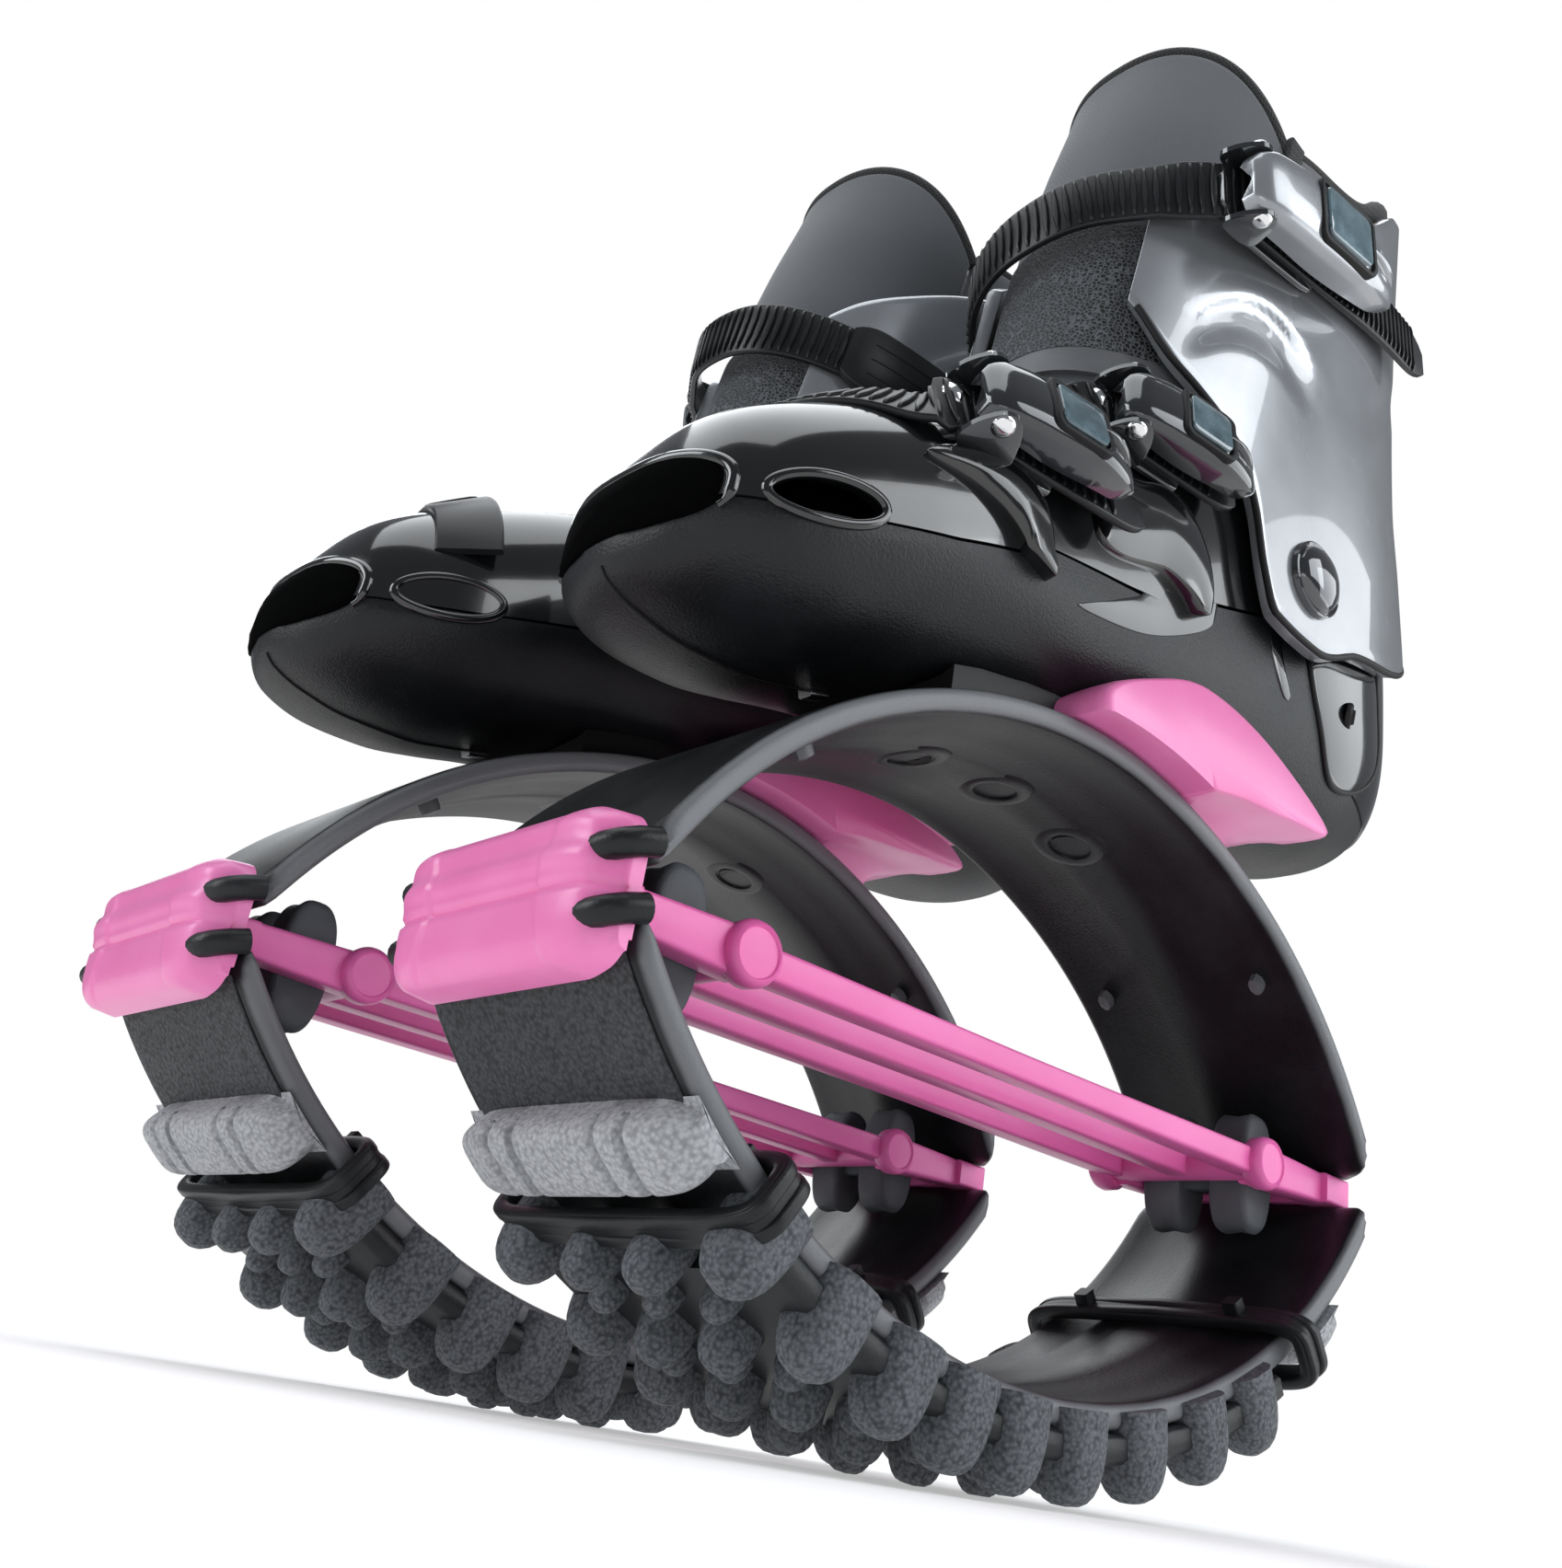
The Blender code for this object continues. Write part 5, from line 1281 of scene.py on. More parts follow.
def hull_patch(name, outline, edge, crown, tilt=0.0, sink=-0.0010):
    """A crowned patch. `tilt` lifts it more towards its heel end."""
    loop = closed_curve(outline)
    middle = loop.mean(0)
    span = loop[:, 0].max() - loop[:, 0].min()
    rows = []
    for r, lift in [(r, crown + (edge - crown) * r ** 2.4) for r in np.linspace(0.03, 0.97, 9)] + [
            (1.0, edge * 0.92), (1.012, edge * 0.6), (1.012, sink), (0.5, sink), (0.03, sink)]:
        place = middle + (loop - middle) * r
        more = tilt * np.clip((place[:, 0] - middle[0]) / span + 0.5, 0, 1) ** 1.5 if lift > sink else 0.0
        rows.append(on_hull(place[:, 0], place[:, 1], lift + more))
    return rings(name, rows)


def hull_line(name, points, radius, lift, closed=False):
    points = closed_curve(points) if closed else np.array(points)
    return trim(name, on_hull(points[:, 0], points[:, 1], lift), radius, seam_black, 1.0, closed)


forefoot_fin = [(0.168, 2.76), (0.204, 2.70), (0.250, 2.80), (0.286, 3.02), (0.301, 3.28), (0.256, 3.10),
                (0.212, 2.93)]
instep_fin = [(0.372, 2.64), (0.444, 2.72), (0.500, 2.94), (0.529, 3.14), (0.458, 3.08), (0.368, 3.02)]
fins = [hull_patch("fin", shape, 0.0016, 0.0034, 0.0035) for shape in (forefoot_fin, instep_fin)]
fit(joined("fins", fins), "pointed_flaps", shell_gloss, "boot", sharp=60)
lens_shape = [(0.350, 3.34), (0.400, 3.20), (0.450, 3.13), (0.520, 3.08), (0.560, 3.12), (0.520, 3.22),
              (0.440, 3.34)]
slit_shape = [(0.640, 3.02), (0.652, 3.00), (0.672, 3.14), (0.690, 3.30), (0.680, 3.32), (0.656, 3.16)]
inlays = [hull_patch("hollow", lens_shape, 0.0003, 0.0005), hull_patch("slit", slit_shape, 0.0003, 0.0006)]
fit(joined("inlays", inlays), "lower_shell_hollows", shell_gloss, "boot", sharp=60)
panel_shape = [(0.716, 3.00), (0.760, 2.96), (0.820, 3.02), (0.872, 3.10), (0.880, 3.40), (0.840, 3.62),
               (0.790, 3.66), (0.752, 3.40)]
panel = hull_patch("heel panel", panel_shape, 0.0006, 0.0011)
fit(panel, "heel_panel", shell_gloss, "boot", sharp=60)
groove = [(0.798 + (a - 0.798) * 1.05, 3.28 + (b - 3.28) * 1.05) for a, b in panel_shape]
lines = [hull_line("panel groove", groove, 0.0009, 0.0002, True)]
bolt_profile = [(0.0, 0.0016), (0.0022, 0.0016), (0.0026, 0.0004), (0.0038, 0.0008), (0.0044, 0.0002),
                (0.0044, -0.0010)]
centre = np.linspace(0.004, 0.218, 60)
lines.append(hull_line("toe seam", pairs(centre, 1.5 * pi), 0.00035, 0.0001))
for spot in ((0.796, 3.24), (0.806, 2.98)):
    base = on_hull(*spot, 0.0010)
    lines.append(turned_part("bolt", base, on_hull(*spot, 0.0040) - base, bolt_profile, 24))
fit(joined("lines", lines), "lower_shell_seams", seam_black, "boot", sharp=50)
clip_spot = on_hull(np.array([0.208, 0.226]), 1.5 * pi, 0.0008)
clip = bar("clip", clip_spot, (0, 0, -1), round_box(0.0022, 0.0013, 0.0006))
fit(clip, "toe_seam_clip", chrome, "boot")

# %% [markdown]
# ## The saddle
# A pink block seats the boot on the crown of the arc and runs back into a wing that ends
# in a point. Its side view changes across the boot, from the wing at the flanks to a post
# on the arc in the middle. The hull and the arc are then cut out of it, so it fits them.

# %% Saddle
wing_line = [(-0.0140, 0.1865), (0.0050, 0.1985), (0.0280, 0.2060), (0.0600, 0.2020), (0.0930, 0.1875),
             (0.0700, 0.1830), (0.0457, 0.1800), (0.0230, 0.1745), (0.0030, 0.1668), (-0.0080, 0.1720)]
post_line = [(-0.0140, 0.1865), (0.0050, 0.1985), (0.0280, 0.2060), (0.0600, 0.2020), (0.0900, 0.1900),
             (0.0700, 0.1780), (0.0600, 0.1640), (0.0400, 0.1560), (0.0030, 0.1600), (-0.0080, 0.1700)]
wing, post = closed_curve(wing_line, 84), closed_curve(post_line, 84)
grid = []
flank = [(0.0465, 0.93), (0.0460, 0.965), (0.0448, 0.985), (0.0425, 0.998), (0.038, 1.0)]
core = [(out, 1.0) for out in np.linspace(-0.032, 0.032, 17)]
for out, size in [(-out, size) for out, size in flank] + core + flank[::-1]:
    place = wing + (post - wing) * soft(0.034, 0.024, abs(out))
    middle = place.mean(0)
    place = middle + (place - middle) * size
    grid.append(at(place[:, 0], out, place[:, 1]))
saddle = rings("saddle", grid)
foot = rings("foot", on_hull(stations[::2, None], full_turn(60), 0.0006))
arc_x = np.linspace(-0.120, 0.120, 61)
arc_z = arc_height(True, arc_x)
arc_top = arc_z + (arc_wall + 0.0005) * np.hypot(1, np.gradient(arc_z, arc_x))
under = np.concatenate([pairs(arc_x, arc_top), [(0.125, 0.10), (-0.125, 0.10)]])
room = rings("room", [at(under[:, 0], out, under[:, 1]) for out in (-0.06, 0.06)])
for tool in (saddle, foot, room):
    with editing(tool.data) as work:
        bmesh.ops.recalc_face_normals(work, faces=work.faces[:])
cut(saddle, [foot])
cut(saddle, [room])
fit(saddle, "saddle_wing", pink_shell, "boot", ("heel_saddle",), sharp=66)

# %% [markdown]
# ## Liner and tongue
# The soft inner boot is foam under a thin stretch cloth. Its shaft is a band that stays
# open in front, where a broad tongue closes it. Both are thick sheets on the shaft's own
# curve, fuller in the middle and thinner at the rim. Cloth simulation was not needed:
# the foam is pressed between two stiff shells, and only its domed rim stands free.

# %% Liner shaft, foot and rolled collar
def liner_rim(turn):
    """Height of the liner's edge: it rises from the front to the heel."""
    return 0.765 + 0.140 * soft(1.25, 2.7, np.abs(turn)) - 0.022 * bump(1.9, 0.5, np.abs(turn))


turn = np.linspace(1.32, 2 * pi - 1.32, 84)
around = np.where(turn > pi, turn - 2 * pi, turn)
v = np.linspace(0, 1, 34)[:, None]
level = 0.06 + (liner_rim(around)[None, :] - 0.06) * v
full = 0.0012 * np.sin(pi * np.clip((v - 0.75) / 0.25, 0, 1))
outer = on_shaft(liner_shares, level, turn[None, :], full - 0.0002)
inner = on_shaft(liner_shares, level, turn[None, :], -0.0072 - full * 0.5)
shaft = settled(soften(thick_sheet("shaft", outer, inner), 0.0022, 3, 50))
sock_start, sock_end = 0.17, 0.985
rows = stations[(stations > sock_start) & (stations < sock_end)][::2]
close = np.sqrt(np.clip(1 - (1 - np.clip((rows - sock_start) / 0.06, 0, 1)) ** 2, 0.02, 1))
is_open = np.isin(rows, stations[collar < top]) & (rows > 0.28)
rim_turn = np.where(is_open, turn_at(rows, line_height(collar_shares, rows) - 0.02), pi / 2 + 0.02)
sock_turn = rim_turn[:, None] + (3 * pi - 2 * rim_turn)[:, None] * np.linspace(0, 1, 50)
sock = on_hull(rows[:, None], sock_turn, -0.0058 - 0.006 * (1 - close[:, None]))
deep = on_hull(rows[:, None], sock_turn, -0.0112 - 0.004 * (1 - close[:, None]))
liner = joined("liner", [shaft, thick_sheet("sock", sock, deep)])
fit(liner, "liner_boot", liner_cloth, leg_bend, ("liner",), sharp=60)

edge_turn = np.linspace(1.34, 2 * pi - 1.34, 90)
edge_around = np.where(edge_turn > pi, edge_turn - 2 * pi, edge_turn)
thick = 0.55 + 1.0 * soft(1.6, 2.6, np.abs(edge_around))
collar_line = on_shaft(liner_shares, liner_rim(edge_around) + 0.004, edge_turn, -0.0030 + 0.0012 * thick)
collar_roll = trim("collar roll", collar_line, 0.0040, trim_tape, thick, sides=14)
fit(collar_roll, "collar_roll", trim_tape, leg_bend)

# %% [markdown]
# The tongue is a tall dome. Its outer face bows forward, its top edge carries a ribbed
# black tape, and a patch of open mesh lies across it below the top strap.

# %% Tongue, its tape and its mesh patch
def tongue_top(side):
    return 0.878 - 0.130 * np.abs(side) ** 3.6


side = np.linspace(-1, 1, 61)
v = np.linspace(0, 1, 46)[:, None]
low = 0.20 + 0.03 * np.abs(side)
level = low + (tongue_top(side) - low) * v
puff = 0.0016 * np.sin(pi * v) * (1 - side ** 4)[None, :]
outer = on_shaft(liner_shares, level, 1.30 * side[None, :], puff)
inner = on_shaft(liner_shares, level, 1.30 * side[None, :], -0.0074 - 0.4 * puff)
fit(soften(thick_sheet("tongue", outer, inner), 0.0024, 3, 50), "tongue_pad", liner_cloth,
    leg_bend, ("tongue",), sharp=60)
side = np.linspace(-1.0, 1.0, 120)
rim = on_shaft(liner_shares, tongue_top(side) + 0.003, 1.31 * side, -0.0022)
tape = [trim("tape", rim, 0.0030, trim_tape, sides=14)]
tag = on_shaft(liner_shares, np.array([0.772, 0.748, 0.724]), 1.34, 0.0006)
tape.append(bar("tag", tag, (0, -1, 0), round_box(0.0040, 0.0014, 0.0008)))
fit(joined("tape", tape), "tongue_tape", trim_tape, leg_bend, sharp=60)


def tongue_patch(name, low, high, lift, finish):
    levels = low + (high - low) * np.linspace(0, 1, 16)[:, None]
    turns = -0.95 + 2.0 * np.linspace(0, 1, 34)[None, :]
    faces = [on_shaft(liner_shares, levels, turns, depth) for depth in (lift, -0.001)]
    fit(thick_sheet(name, *faces), name, finish, leg_bend)


tongue_patch("tongue_mesh_patch", 0.30, 0.505, 0.0026, mesh_cloth)
tongue_patch("tongue_patch_border", 0.262, 0.302, 0.0024, edge_grey)
bed_line = [(0.175, 0.005), (0.240, 0.085), (0.350, 0.180), (0.440, 0.218), (0.620, 0.210), (0.830, 0.222)]
x_share = np.linspace(0.180, 0.825, 40)
z_share = value(bed_line, x_share)
to_end = np.minimum(x_share - 0.172, 0.832 - x_share)
width = 0.0285 * np.minimum(1, np.sqrt(np.clip(to_end / 0.07, 0.05, 1)))
across = np.linspace(-1, 1, 17)
bed_x = (toe_place + boot_length * x_share)[:, None]
bed_z = (seat_z + hull_height * z_share)[:, None] + 0.0012 * across ** 2
bed = thick_sheet("bed", *[at(bed_x, width[:, None] * across, bed_z - drop) for drop in (0, 0.0036)])
fit(soften(bed, 0.0008), "footbed_pad", foam_sole, "boot", ("footbed",))

# %% [markdown]
# ## The cuff
# A lacquered shell wraps the shaft from one side of the tongue to the other and pivots on
# a rivet at each ankle. Its lower and upper edges are one height for each turn round the
# leg, so it is a single grid between the two. A crescent is pressed in under the strap
# and short notches cross its back, both as small changes of how far the skin stands out.

# %% Cuff
cuff_low = [(0.645, 0.36), (0.69, 0.350), (0.90, 0.290), (1.05, 0.262), (1.20, 0.230), (1.30, 0.188),
            (1.36, 0.145), (1.41, 0.075), (1.46, 0.030), (1.60, 0.020), (1.80, 0.060), (2.10, 0.095),
            (2.50, 0.170), (2.80, 0.250), (3.15, 0.285)]
cuff_high = [(0.645, 0.520), (0.80, 0.560), (1.065, 0.610), (1.30, 0.655), (1.50, 0.690), (1.77, 0.740),
             (2.10, 0.835), (2.50, 0.880), (3.15, 0.885)]
half_turn = np.concatenate([np.linspace(0.66, 1.24, 24), np.linspace(1.25, 1.66, 34),
                            np.linspace(1.69, pi, 34)])
cuff_turn = np.concatenate([half_turn, 2 * pi - half_turn[-2::-1]])
folded = np.where(cuff_turn > pi, 2 * pi - cuff_turn, cuff_turn)
low, high = value(cuff_low, folded), value(cuff_high, folded)
v = np.concatenate([[0, 0.012, 0.03], np.linspace(0.06, 0.94, 52), [0.97, 0.988, 1.0]])[:, None]
level = low + (high - low) * v
fold = folded + 0 * level
arch = 0.365 + 0.055 * np.sin(np.clip((fold - 0.95) / 0.62, 0, 1) * pi) + 0.05 * (fold - 0.95)
scoop_top = soft(0.012, -0.006, level - arch)
scoop_low = soft(-0.085, -0.03, level - arch)
scoop = scoop_top * scoop_low * soft(0.92, 1.05, fold) * soft(1.60, 1.40, fold)
at_back = soft(2.62, 2.80, fold) * soft(0.28, 0.34, level) * soft(0.80, 0.74, level)
notches = np.sin(level * 2 * pi / 0.052) ** 6 * at_back
crease = bump(0.06, 0.05, level - 0.30 - 0.25 * (fold - 1.6)) * soft(1.75, 2.0, fold) * soft(2.6, 2.3, fold)
rim_round = np.minimum(v, 1 - v) * (high - low) * shaft_height
rim_round = 0.0010 * (1 - soft(0, 0.0022, rim_round))
lift = cuff_wall + 0.0010 - 0.0019 * scoop - 0.0022 * notches - 0.0006 * crease - rim_round
outer = on_shaft(cuff_shares, level, cuff_turn, lift)
inner = on_shaft(cuff_shares, level, cuff_turn, 0.0004)
cuff_piece = soften(thick_sheet("cuff", outer, inner), 0.0012, 3, 55)
fit(cuff_piece, "cuff_lacquered", cuff_silver, "cuff", ("cuff",), sharp=60)
rim_points = on_shaft(cuff_shares, low[2:-2] + 0.004, cuff_turn[2:-2], cuff_wall + 0.0002)
fit(trim("cuff seam", rim_points, 0.0011, seam_black), "cuff_lower_seam", seam_black, "cuff")

# %% [markdown]
# The cuff turns on a low domed rivet with a dark ring round it. It is a lathe shape.

# %% Cuff rivet
rivet_node = frame["nodes"]["left_cuff_rivet"]
outermost = min((rivet_node.matrix_world @ vertex.co).y for vertex in rivet_node.data.vertices)
surface = -outermost - half_apart - 0.0010
profile = [(0.0, 0.0040), (0.0030, 0.0039), (0.0060, 0.0034), (0.0084, 0.0025), (0.0098, 0.0014),
           (0.0102, 0.0006), (0.0104, 0.0001), (0.0109, 0.0004), (0.0114, 0.0007), (0.0119, 0.0004),
           (0.0121, -0.0012)]
for name, side, stands_for in (("rivet_dome", 1, ("cuff_rivet",)), ("inner_rivet_dome", -1, ())):
    rivet = turned_part(name, at(0.077, side * surface, ankle_height).ravel(), (0, -side, 0), profile, 56)
    fit(rivet, name, rivet_gloss, "cuff", stands_for, sharp=40 if side > 0 else 38)

# %% [markdown]
# ## Straps and buckles
# Three ladder straps pull the boot shut. Each strap runs over the boot, through a base
# with two ears, under a hinged lever, and ends in a free tail. A buckle has its own
# directions: along the strap, across it, and outwards. They come from the frame's lever
# hinges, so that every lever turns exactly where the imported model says.

# %% Buckle directions
class Buckle:
    """A buckle's own frame: u along the strap, v across it, n outwards."""

    def __init__(self, name, length, width):
        joint = next(j for j in frame["joints"] if j["name"] == f"left_{name}_lever_hinge")
        node = frame["nodes"][f"left_{name}_buckle_lever"]
        corners = np.array([node.matrix_world @ vertex.co for vertex in node.data.vertices])
        self.name, self.length, self.half = name, length, width / 2
        self.big = name == "top"
        self.body = "cuff" if self.big else "boot"
        self.pivot = np.array(joint["pos_m"])
        self.across = -np.array(joint["axis"])
        away = corners - self.pivot
        away = away - np.outer(away @ self.across, self.across)
        reach = np.linalg.norm(away, axis=1)
        self.along = unit(away[reach > reach.max() * 0.985].mean(0))
        self.outward = np.cross(self.along, self.across)
        self.pivot_u = -length / 2 + 0.0056
        self.pivot_n = 0.0102
        self.origin = self.pivot - self.along * self.pivot_u - self.outward * self.pivot_n

    def put(self, u, v, n):
        u, v, n = (np.asarray(x, float)[..., None] for x in np.broadcast_arrays(u, v, n))
        return self.origin + self.along * u + self.across * v + self.outward * n


buckles = [Buckle(*row, 0.026) for row in (("forefoot", 0.0495), ("instep", 0.0495), ("top", 0.0825))]
for buckle in buckles:
    print(buckle.name, "buckle, pivot", buckle.pivot.round(4), "along", buckle.along.round(3))

# %% [markdown]
# A strap is one band along a path that first hugs the hull or the cuff and then runs
# straight through its buckle. Its teeth are copies of one rounded ridge, set at an even
# pitch along the same path by the node tree. The stretch on the inner side is a smooth,
# wider holder with pressed grooves.

# %% Straps with teeth
def hull_hug(far, near, count=46):
    mix = np.linspace(0, 1, count)
    share = far[0] + (near[0] - far[0]) * mix ** 2.5
    turn = far[1] + (near[1] - far[1]) * mix
    place = on_hull(share, turn, 0.0018)
    return place, on_hull(share, turn, 0.0118) - place


def shaft_hug(first, last, share, tilt, count=80):
    turn = np.linspace(first, last, count)
    level = share + tilt * (turn - last)
    place = on_shaft(cuff_shares, level, turn, cuff_wall + 0.0030)
    return place, on_shaft(cuff_shares, level, turn, cuff_wall + 0.0130) - place


def even(path, sides, pitch, start, end):
    """Points at an even pitch along a path, with the run and the outward side."""
    steps = np.linalg.norm(np.diff(path, axis=0), axis=1)
    length = np.concatenate([[0], np.cumsum(steps)])
    places = np.arange(start, length[-1] - end, pitch)

    def read(rows, where):
        return np.stack([np.interp(where, length, row) for row in rows.T], -1)

    run = unit(read(path, places + 0.0005) - read(path, places - 0.0005))
    out = read(sides, places)
    return read(path, places), run, unit(out - run * (out * run).sum(1)[:, None])


def strap(buckle, hug, width, tail, pitch, tooth, plain, droop=0.0):
    """A band that hugs the boot, runs through its buckle and ends in a tail."""
    place, sides = hug
    u = np.linspace(-buckle.length / 2 - 0.004, buckle.length / 2 + tail, 40)
    past = np.clip((u - buckle.length * 0.45) / tail, 0, 1)
    straight = buckle.put(u, 0, 0.0024 - droop * past ** 2)
    path = np.concatenate([place, straight])
    sides = np.concatenate([unit(sides), np.broadcast_to(buckle.outward, straight.shape)])
    eased(path, 6)
    taper, flat = np.ones((2, len(path)))
    taper[-7:] = [0.99, 0.97, 0.93, 0.87, 0.78, 0.64, 0.42]
    flat[-3:] = [0.95, 0.85, 0.6]
    band = bar("band", path, sides, round_box(width / 2, 0.0011, 0.0008), pairs(taper, flat))
    points, run, out = even(path, sides, pitch, plain, 0.010)
    axes = list(zip(run, np.cross(out, run), out))
    teeth = repeat("teeth", pebble("tooth", 4.0, 5, 8), points + out * 0.0007, axes,
                   (pitch * 0.62, width * 0.90, tooth), strap_black)
    fit(joined("strap", [band, teeth]), f"{buckle.name}_strap_band", strap_black, buckle.body,
        (f"{buckle.name}_ladder_strap",), sharp=40)
    return path, sides


strap(buckles[0], hull_hug((0.100, 0.35), (0.185, 2.42)), 0.018, 0.012, 0.0034, 0.0014, 0.040)
strap(buckles[1], hull_hug((0.290, 0.35), (0.350, 2.25)), 0.018, 0.001, 0.0034, 0.0014, 0.040)
round_leg = shaft_hug(-2.0, 0.50, 0.515, 0.045)
path, sides = strap(buckles[2], round_leg, 0.020, 0.046, 0.0033, 0.0016, 0.092, droop=0.004)
sides = sides[:38]
holder = path[:38] + sides * 0.0016
flare = np.concatenate([[0.72, 0.9], np.ones(32), [0.97, 0.92, 0.84, 0.7]])
piece = bar("holder", holder, sides, round_box(0.0130, 0.0016, 0.0009), pairs(flare, 1))
across = unit(np.cross(sides, np.gradient(holder, axis=0)))
lean = np.clip(1 - np.abs(np.arange(38) - 10) / 6, 0, 1)[:, None] * 0.0030
grooves = [trim("groove", (holder + sides * 0.0015 + across * (shift + lean))[4:34], 0.0004, seam_black)
           for shift in (-0.0062, 0.0, 0.0062)]
fit(piece, "top_strap_holder", strap_black, "cuff", sharp=40)
fit(joined("grooves", grooves), "top_strap_holder_grooves", seam_black, "cuff")

# %% [markdown]
# The base of a buckle is a floor plate with an ear at each side that carries the hinge
# pin. The pin's bright heads show on both sides, and the lower buckles have one more
# rivet that fixes them to the shell.

# %% Buckle bases
pin_profile = [(0.0, 0.0020), (0.0016, 0.0018), (0.0027, 0.0011), (0.0031, 0.0002), (0.0031, -0.0006)]
stud_profile = [(0.0, 0.0026), (0.0020, 0.0024), (0.0036, 0.0016), (0.0044, 0.0004), (0.0046, -0.0006)]
for buckle in buckles:
    half, first = buckle.half, -buckle.length / 2
    u = np.linspace(first - 0.001, buckle.length * 0.13, 12)
    ends = np.sqrt(np.clip(1 - np.linspace(-1, 1, 12) ** 10, 0.15, 1))
    plate = round_box(half, 0.0010, 0.0008)
    parts = [bar("floor", buckle.put(u, 0, 0.0010), buckle.outward, plate, pairs(ends, 1))]
    ear = closed_curve([(first, 0.0004), (first + 0.0135, 0.0004), (first + 0.0128, 0.0075),
                        (first + 0.0085, 0.0134), (first + 0.0035, 0.0125), (first - 0.0008, 0.0060)], 40)
    middle = ear.mean(0)
    pins = []
    for side in (-1, 1):
        grid = []
        for v, size in ((half - 0.0020, 0.9), (half - 0.0019, 1.0), (half - 0.0003, 1.0), (half, 0.93)):
            ring = middle + (ear - middle) * size
            grid.append(buckle.put(ring[:, 0], side * v, ring[:, 1]))
        parts.append(rings("ear", grid))
        spot = buckle.put(buckle.pivot_u, side * (half - 0.0004), buckle.pivot_n)
        pins.append(turned_part("pin", spot, buckle.across * side, pin_profile, 24))
    if not buckle.big:
        spot = buckle.put(first + 0.0005, half * 0.30, 0.0020)
        pins.append(turned_part("stud", spot, buckle.outward, stud_profile, 28))
    fit(joined("base", parts), f"{buckle.name}_buckle_base_moulded", lever_gloss,
        buckle.body, (f"{buckle.name}_buckle_base",))
    fit(joined("pins", pins), f"{buckle.name}_buckle_pins", chrome, buckle.body)

# %% [markdown]
# A lever is a crowned spoon, widest at its tab and drawn to a rounded tip, with three
# pointed ribs for the finger. A frame round its window holds the smoky release tab. The
# spoon is a row of D-shaped sections, each with its own width, height and level.

# %% Levers
width_shares = [(0, 0.50), (0.03, 0.80), (0.10, 0.98), (0.34, 1.06), (0.62, 0.98), (0.85, 0.72), (0.95, 0.52),
                (0.99, 0.34), (1.0, 0.15)]
high_shares = [(0, 0.20), (0.04, 0.70), (0.12, 0.95), (0.4, 1.0), (0.7, 0.92), (0.9, 0.62), (1.0, 0.10)]
deep_shares = [(0, 0.7), (0.15, 0.9), (0.5, 1.15), (0.85, 0.9), (1.0, 0.15)]
centre_line = [(0, 0), (0.3, 0.0022), (0.62, 0.0026), (1.0, -0.0010)]
heel_of_lever = 0.0042      # how far the spoon reaches behind its pin
t = np.linspace(0, 1, 44)
turn = np.linspace(0, pi, 27)
floor_width = np.linspace(-1, 1, 15)

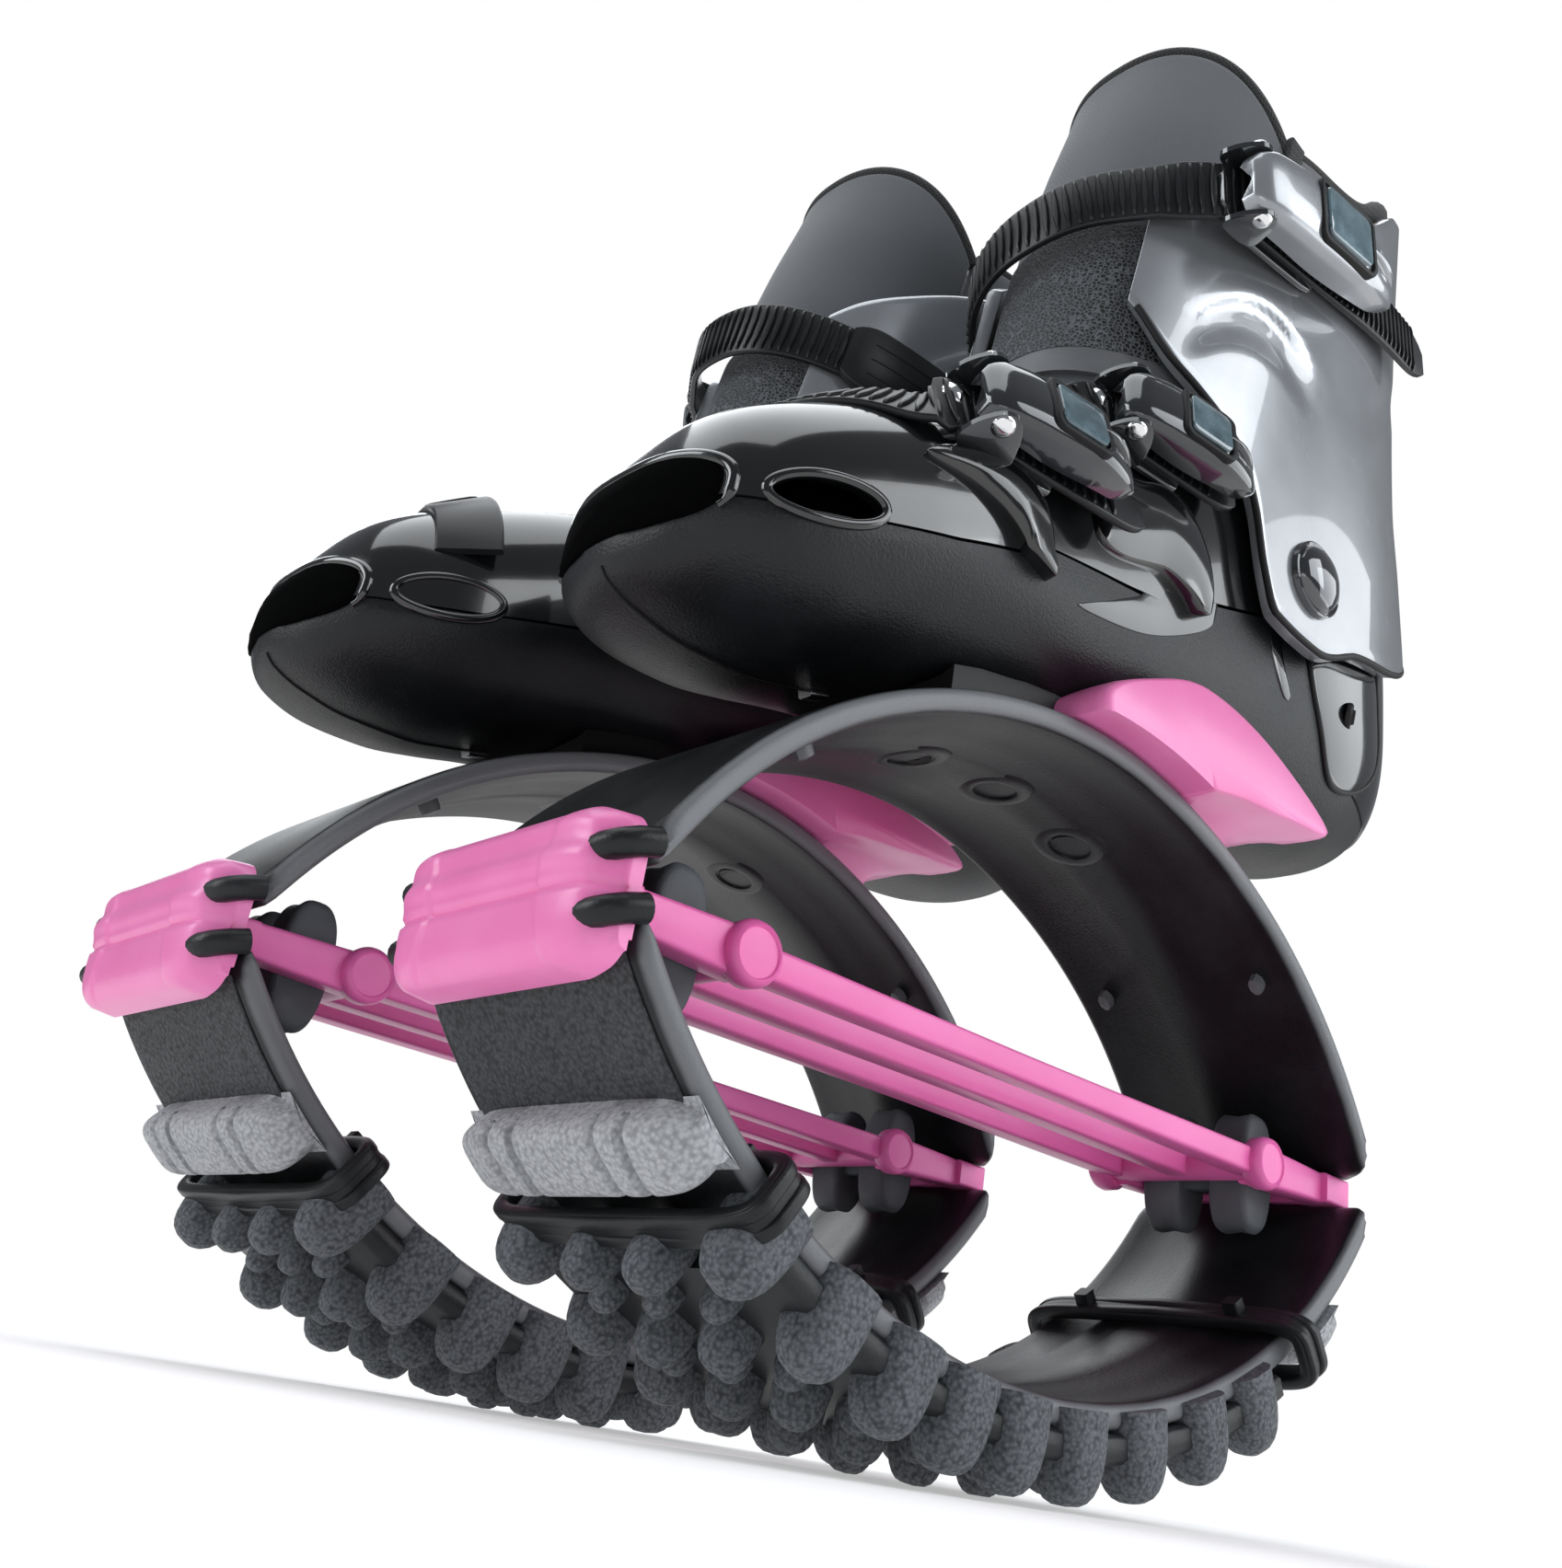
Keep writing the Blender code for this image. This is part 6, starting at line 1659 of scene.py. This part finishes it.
for buckle in buckles:
    name = buckle.name
    half_width, height, half_v = (0.0124, 0.0062, 0.0102) if buckle.big else (0.0106, 0.0046, 0.0088)
    reach, start = buckle.length - 0.0035, buckle.pivot_u - heel_of_lever
    u = start + (reach + heel_of_lever) * t
    width = half_width * value(width_shares, t)
    high = (height * value(high_shares, t))[:, None]
    deep = 0.0055 * value(deep_shares, t)
    centre = (buckle.pivot_n + value(centre_line, t))[:, None]

    # Sections of the spoon: over the top, down a side, under the roof, up the other side
    over_v = width[:, None] * signed(np.cos(turn), 0.7)
    over_n = centre + high * np.sin(turn) ** 0.75
    foot_v = np.outer(width, [-1.0, -0.985, -0.9])
    foot_n = centre - np.outer(deep, [0.5, 0.95, 1.0])
    under_v = np.outer(width, 0.86 * floor_width)
    roof_n = centre + (high - 0.0016) * (1 - floor_width ** 6) ** 0.5
    under_n = np.minimum(np.maximum(roof_n, foot_n[:, -1:]), centre + high * 0.62)
    v = np.concatenate([over_v, foot_v, under_v, -foot_v[:, ::-1]], 1)
    n = np.concatenate([over_n, foot_n, under_n, foot_n[:, ::-1]], 1)
    crest = (centre + high)[:, 0]
    parts = [rings("spoon", buckle.put(u[:, None], v, n))]
    for side in (-1, 0, 1):
        far = abs(side)
        place = np.linspace(start + reach * (0.68 + 0.03 * far), start + reach * (1.0 - 0.03 * far), 18)
        taper = np.sin(np.linspace(0.10, pi - 0.05, 18)) ** 0.8
        across = side * np.linspace(0.0046, 0.0024, 18) * (1.15 if buckle.big else 0.95)
        line = buckle.put(place, across, np.interp(place, u, crest) - 0.0016 * far - 0.0002)
        parts.append(bar("rib", line, buckle.outward, circle(0.0016, 10), pairs(taper, taper * 1.2)))
    fit(joined("lever", parts), f"{name}_lever_spoon", cuff_silver if buckle.big else lever_gloss,
        f"{name}_lever", (f"{name}_buckle_lever",), sharp=45)

    window_u = buckle.pivot_u + reach * 0.46
    corner_u, corner_v = round_box(reach * 0.19, half_v, 0.0026, 5).T
    roof = np.interp(window_u, u, crest)

    def window_ring(size, rise, bow=0.0):
        """The window's outline at a share of its size, `bow` lower at its sides."""
        level = roof + rise - bow * (corner_v / half_v) ** 2
        return buckle.put(window_u + corner_u * size, corner_v * size, level)

    border = bar("window", window_ring(1.0, -0.0006, 0.0010), buckle.outward,
                 round_box(0.0009, 0.0016, 0.0005), closed=True)
    floor = rings("floor", [window_ring(0.98, -0.0040), window_ring(0.98, -0.0026), window_ring(0.94, -0.0024)])
    fit(joined("window", [border, floor]), f"{name}_tab_frame", seam_black, f"{name}_lever")
    slab = [window_ring(size, rise, 0.0006) for rise, size in (
        (-0.0008, 0.72), (-0.0004, 0.80), (0.0006, 0.84), (0.0011, 0.82), (0.0013, 0.74))]
    tab = rings("tab", slab + [window_ring(0.5, 0.0009)])
    fit(tab, f"{name}_tab_slab", tab_smoke, f"{name}_tab",
        (f"{name}_release_tab",), sharp=35)

# %% [markdown]
# The mount plate between boot and arc is seen only edge-on, so its solid stays and is
# given the black finish of the grooves.

# %% Carried-over solids
carried_over = ("left_mount_plate", "right_mount_plate")
for name in carried_over:
    for slot_of in frame["nodes"][name].material_slots:
        slot_of.material = seam_black.material
print("carried over:", *carried_over)

# %% [markdown]
# ## Light and floor
# Soft even light from large panels, and a pale floor that keeps the shadow. The white
# round the boots is what the camera sees, also through the clear tabs. Reflections see
# a tenth of it, and it adds no light.

# %% Studio
glossy_share = 0.10      # reflections see a tenth of the white, as in a dark studio
world = bpy.data.worlds.new("studio")
scene.world = world
world.use_nodes = True
sky = world.node_tree
sky.nodes.clear()
ray = new_node(sky, "ShaderNodeLightPath", {}, {}).outputs


def sky_node(kind, values, **settings):
    return new_node(sky, "ShaderNode" + kind, settings, values).outputs[0]


direct = sky_node("Math", {0: ray["Is Camera Ray"], 1: ray["Is Transmission Ray"]}, operation="MAXIMUM")
glossy = sky_node("Math", {0: ray["Is Glossy Ray"], 1: glossy_share}, operation="MULTIPLY")
seen = sky_node("Math", {0: direct, 1: glossy}, operation="MAXIMUM")
dim = sky_node("Background", {"Color": (0.80, 0.87, 1.0, 1), "Strength": 0.11})
white = sky_node("Background", {"Color": (1, 1, 1, 1)})
shown = sky_node("MixShader", {0: seen, 1: dim, 2: white})
new_node(sky, "ShaderNodeOutputWorld", {}, {"Surface": shown})


def panel(name, place, aim, size, power):
    light = bpy.data.lights.new(name, "AREA")
    light.shape, light.size, light.size_y, light.energy = "RECTANGLE", *size, power
    light.color = (0.94, 0.975, 1.0)
    lamp = placed(name, light)
    lamp.location = place
    lamp.rotation_euler = (Vector(aim) - Vector(place)).to_track_quat("-Z", "Y").to_euler()


panel("top panel", (-0.1, 0.2, 1.5), (0, 0, 0.15), (1.6, 1.2), 11)
panel("toe side panel", (-1.5, 0.6, 0.9), (0, 0, 0.2), (0.8, 1.0), 13)
panel("buckle side panel", (0.50, -1.5, 1.05), (0.0, 0, 0.2), (1.3, 1.0), 14)
panel("heel side panel", (1.2, -1.0, 0.55), (0.05, 0, 0.25), (1.2, 1.2), 10)
panel("low panel", (-1.2, -1.0, 0.20), (0, 0, 0.10), (0.9, 0.22), 0.8)
panel("back panel", (0.6, 1.3, 1.1), (0, 0, 0.2), (1.4, 0.8), 8)

# The floor turns into the white of the background away from the boots. Its colour fades
# to black there while its own glow rises to white, so no horizon shows.
floor = mesh_from("floor", [(x, y, -0.0004) for x, y in ((-8, -8), (8, -8), (8, 8), (-8, 8))], [(0, 1, 2, 3)])
pale = Finish("floor, pale", (0.92, 0.92, 0.925), 0.8, Emission_Strength=1.0)
spot = pale.node("Mapping", {}, {"Vector": pale.place(), "Scale": (2.9, 3.2, 1.0)})
near = pale.node("TexGradient", {"gradient_type": "SPHERICAL"}, {"Vector": spot}, 1)
beside = near.clipped(0.0, 0.55)
pale.feed(Base_Color=pale.mix(beside, (0.0, 0.0, 0.0), (0.72, 0.72, 0.725)),
          Emission_Color=pale.mix(beside, (1.0, 1.0, 1.0), (0.42, 0.42, 0.42)))
floor.data.materials.append(pale.material)

# %% [markdown]
# ## Last settings
# The colours are shown through the Standard view transform, and the pieces made are counted.

# %% Finish
scene.view_settings.view_transform = "Standard"
print("pieces made:", len(made), "for each boot")
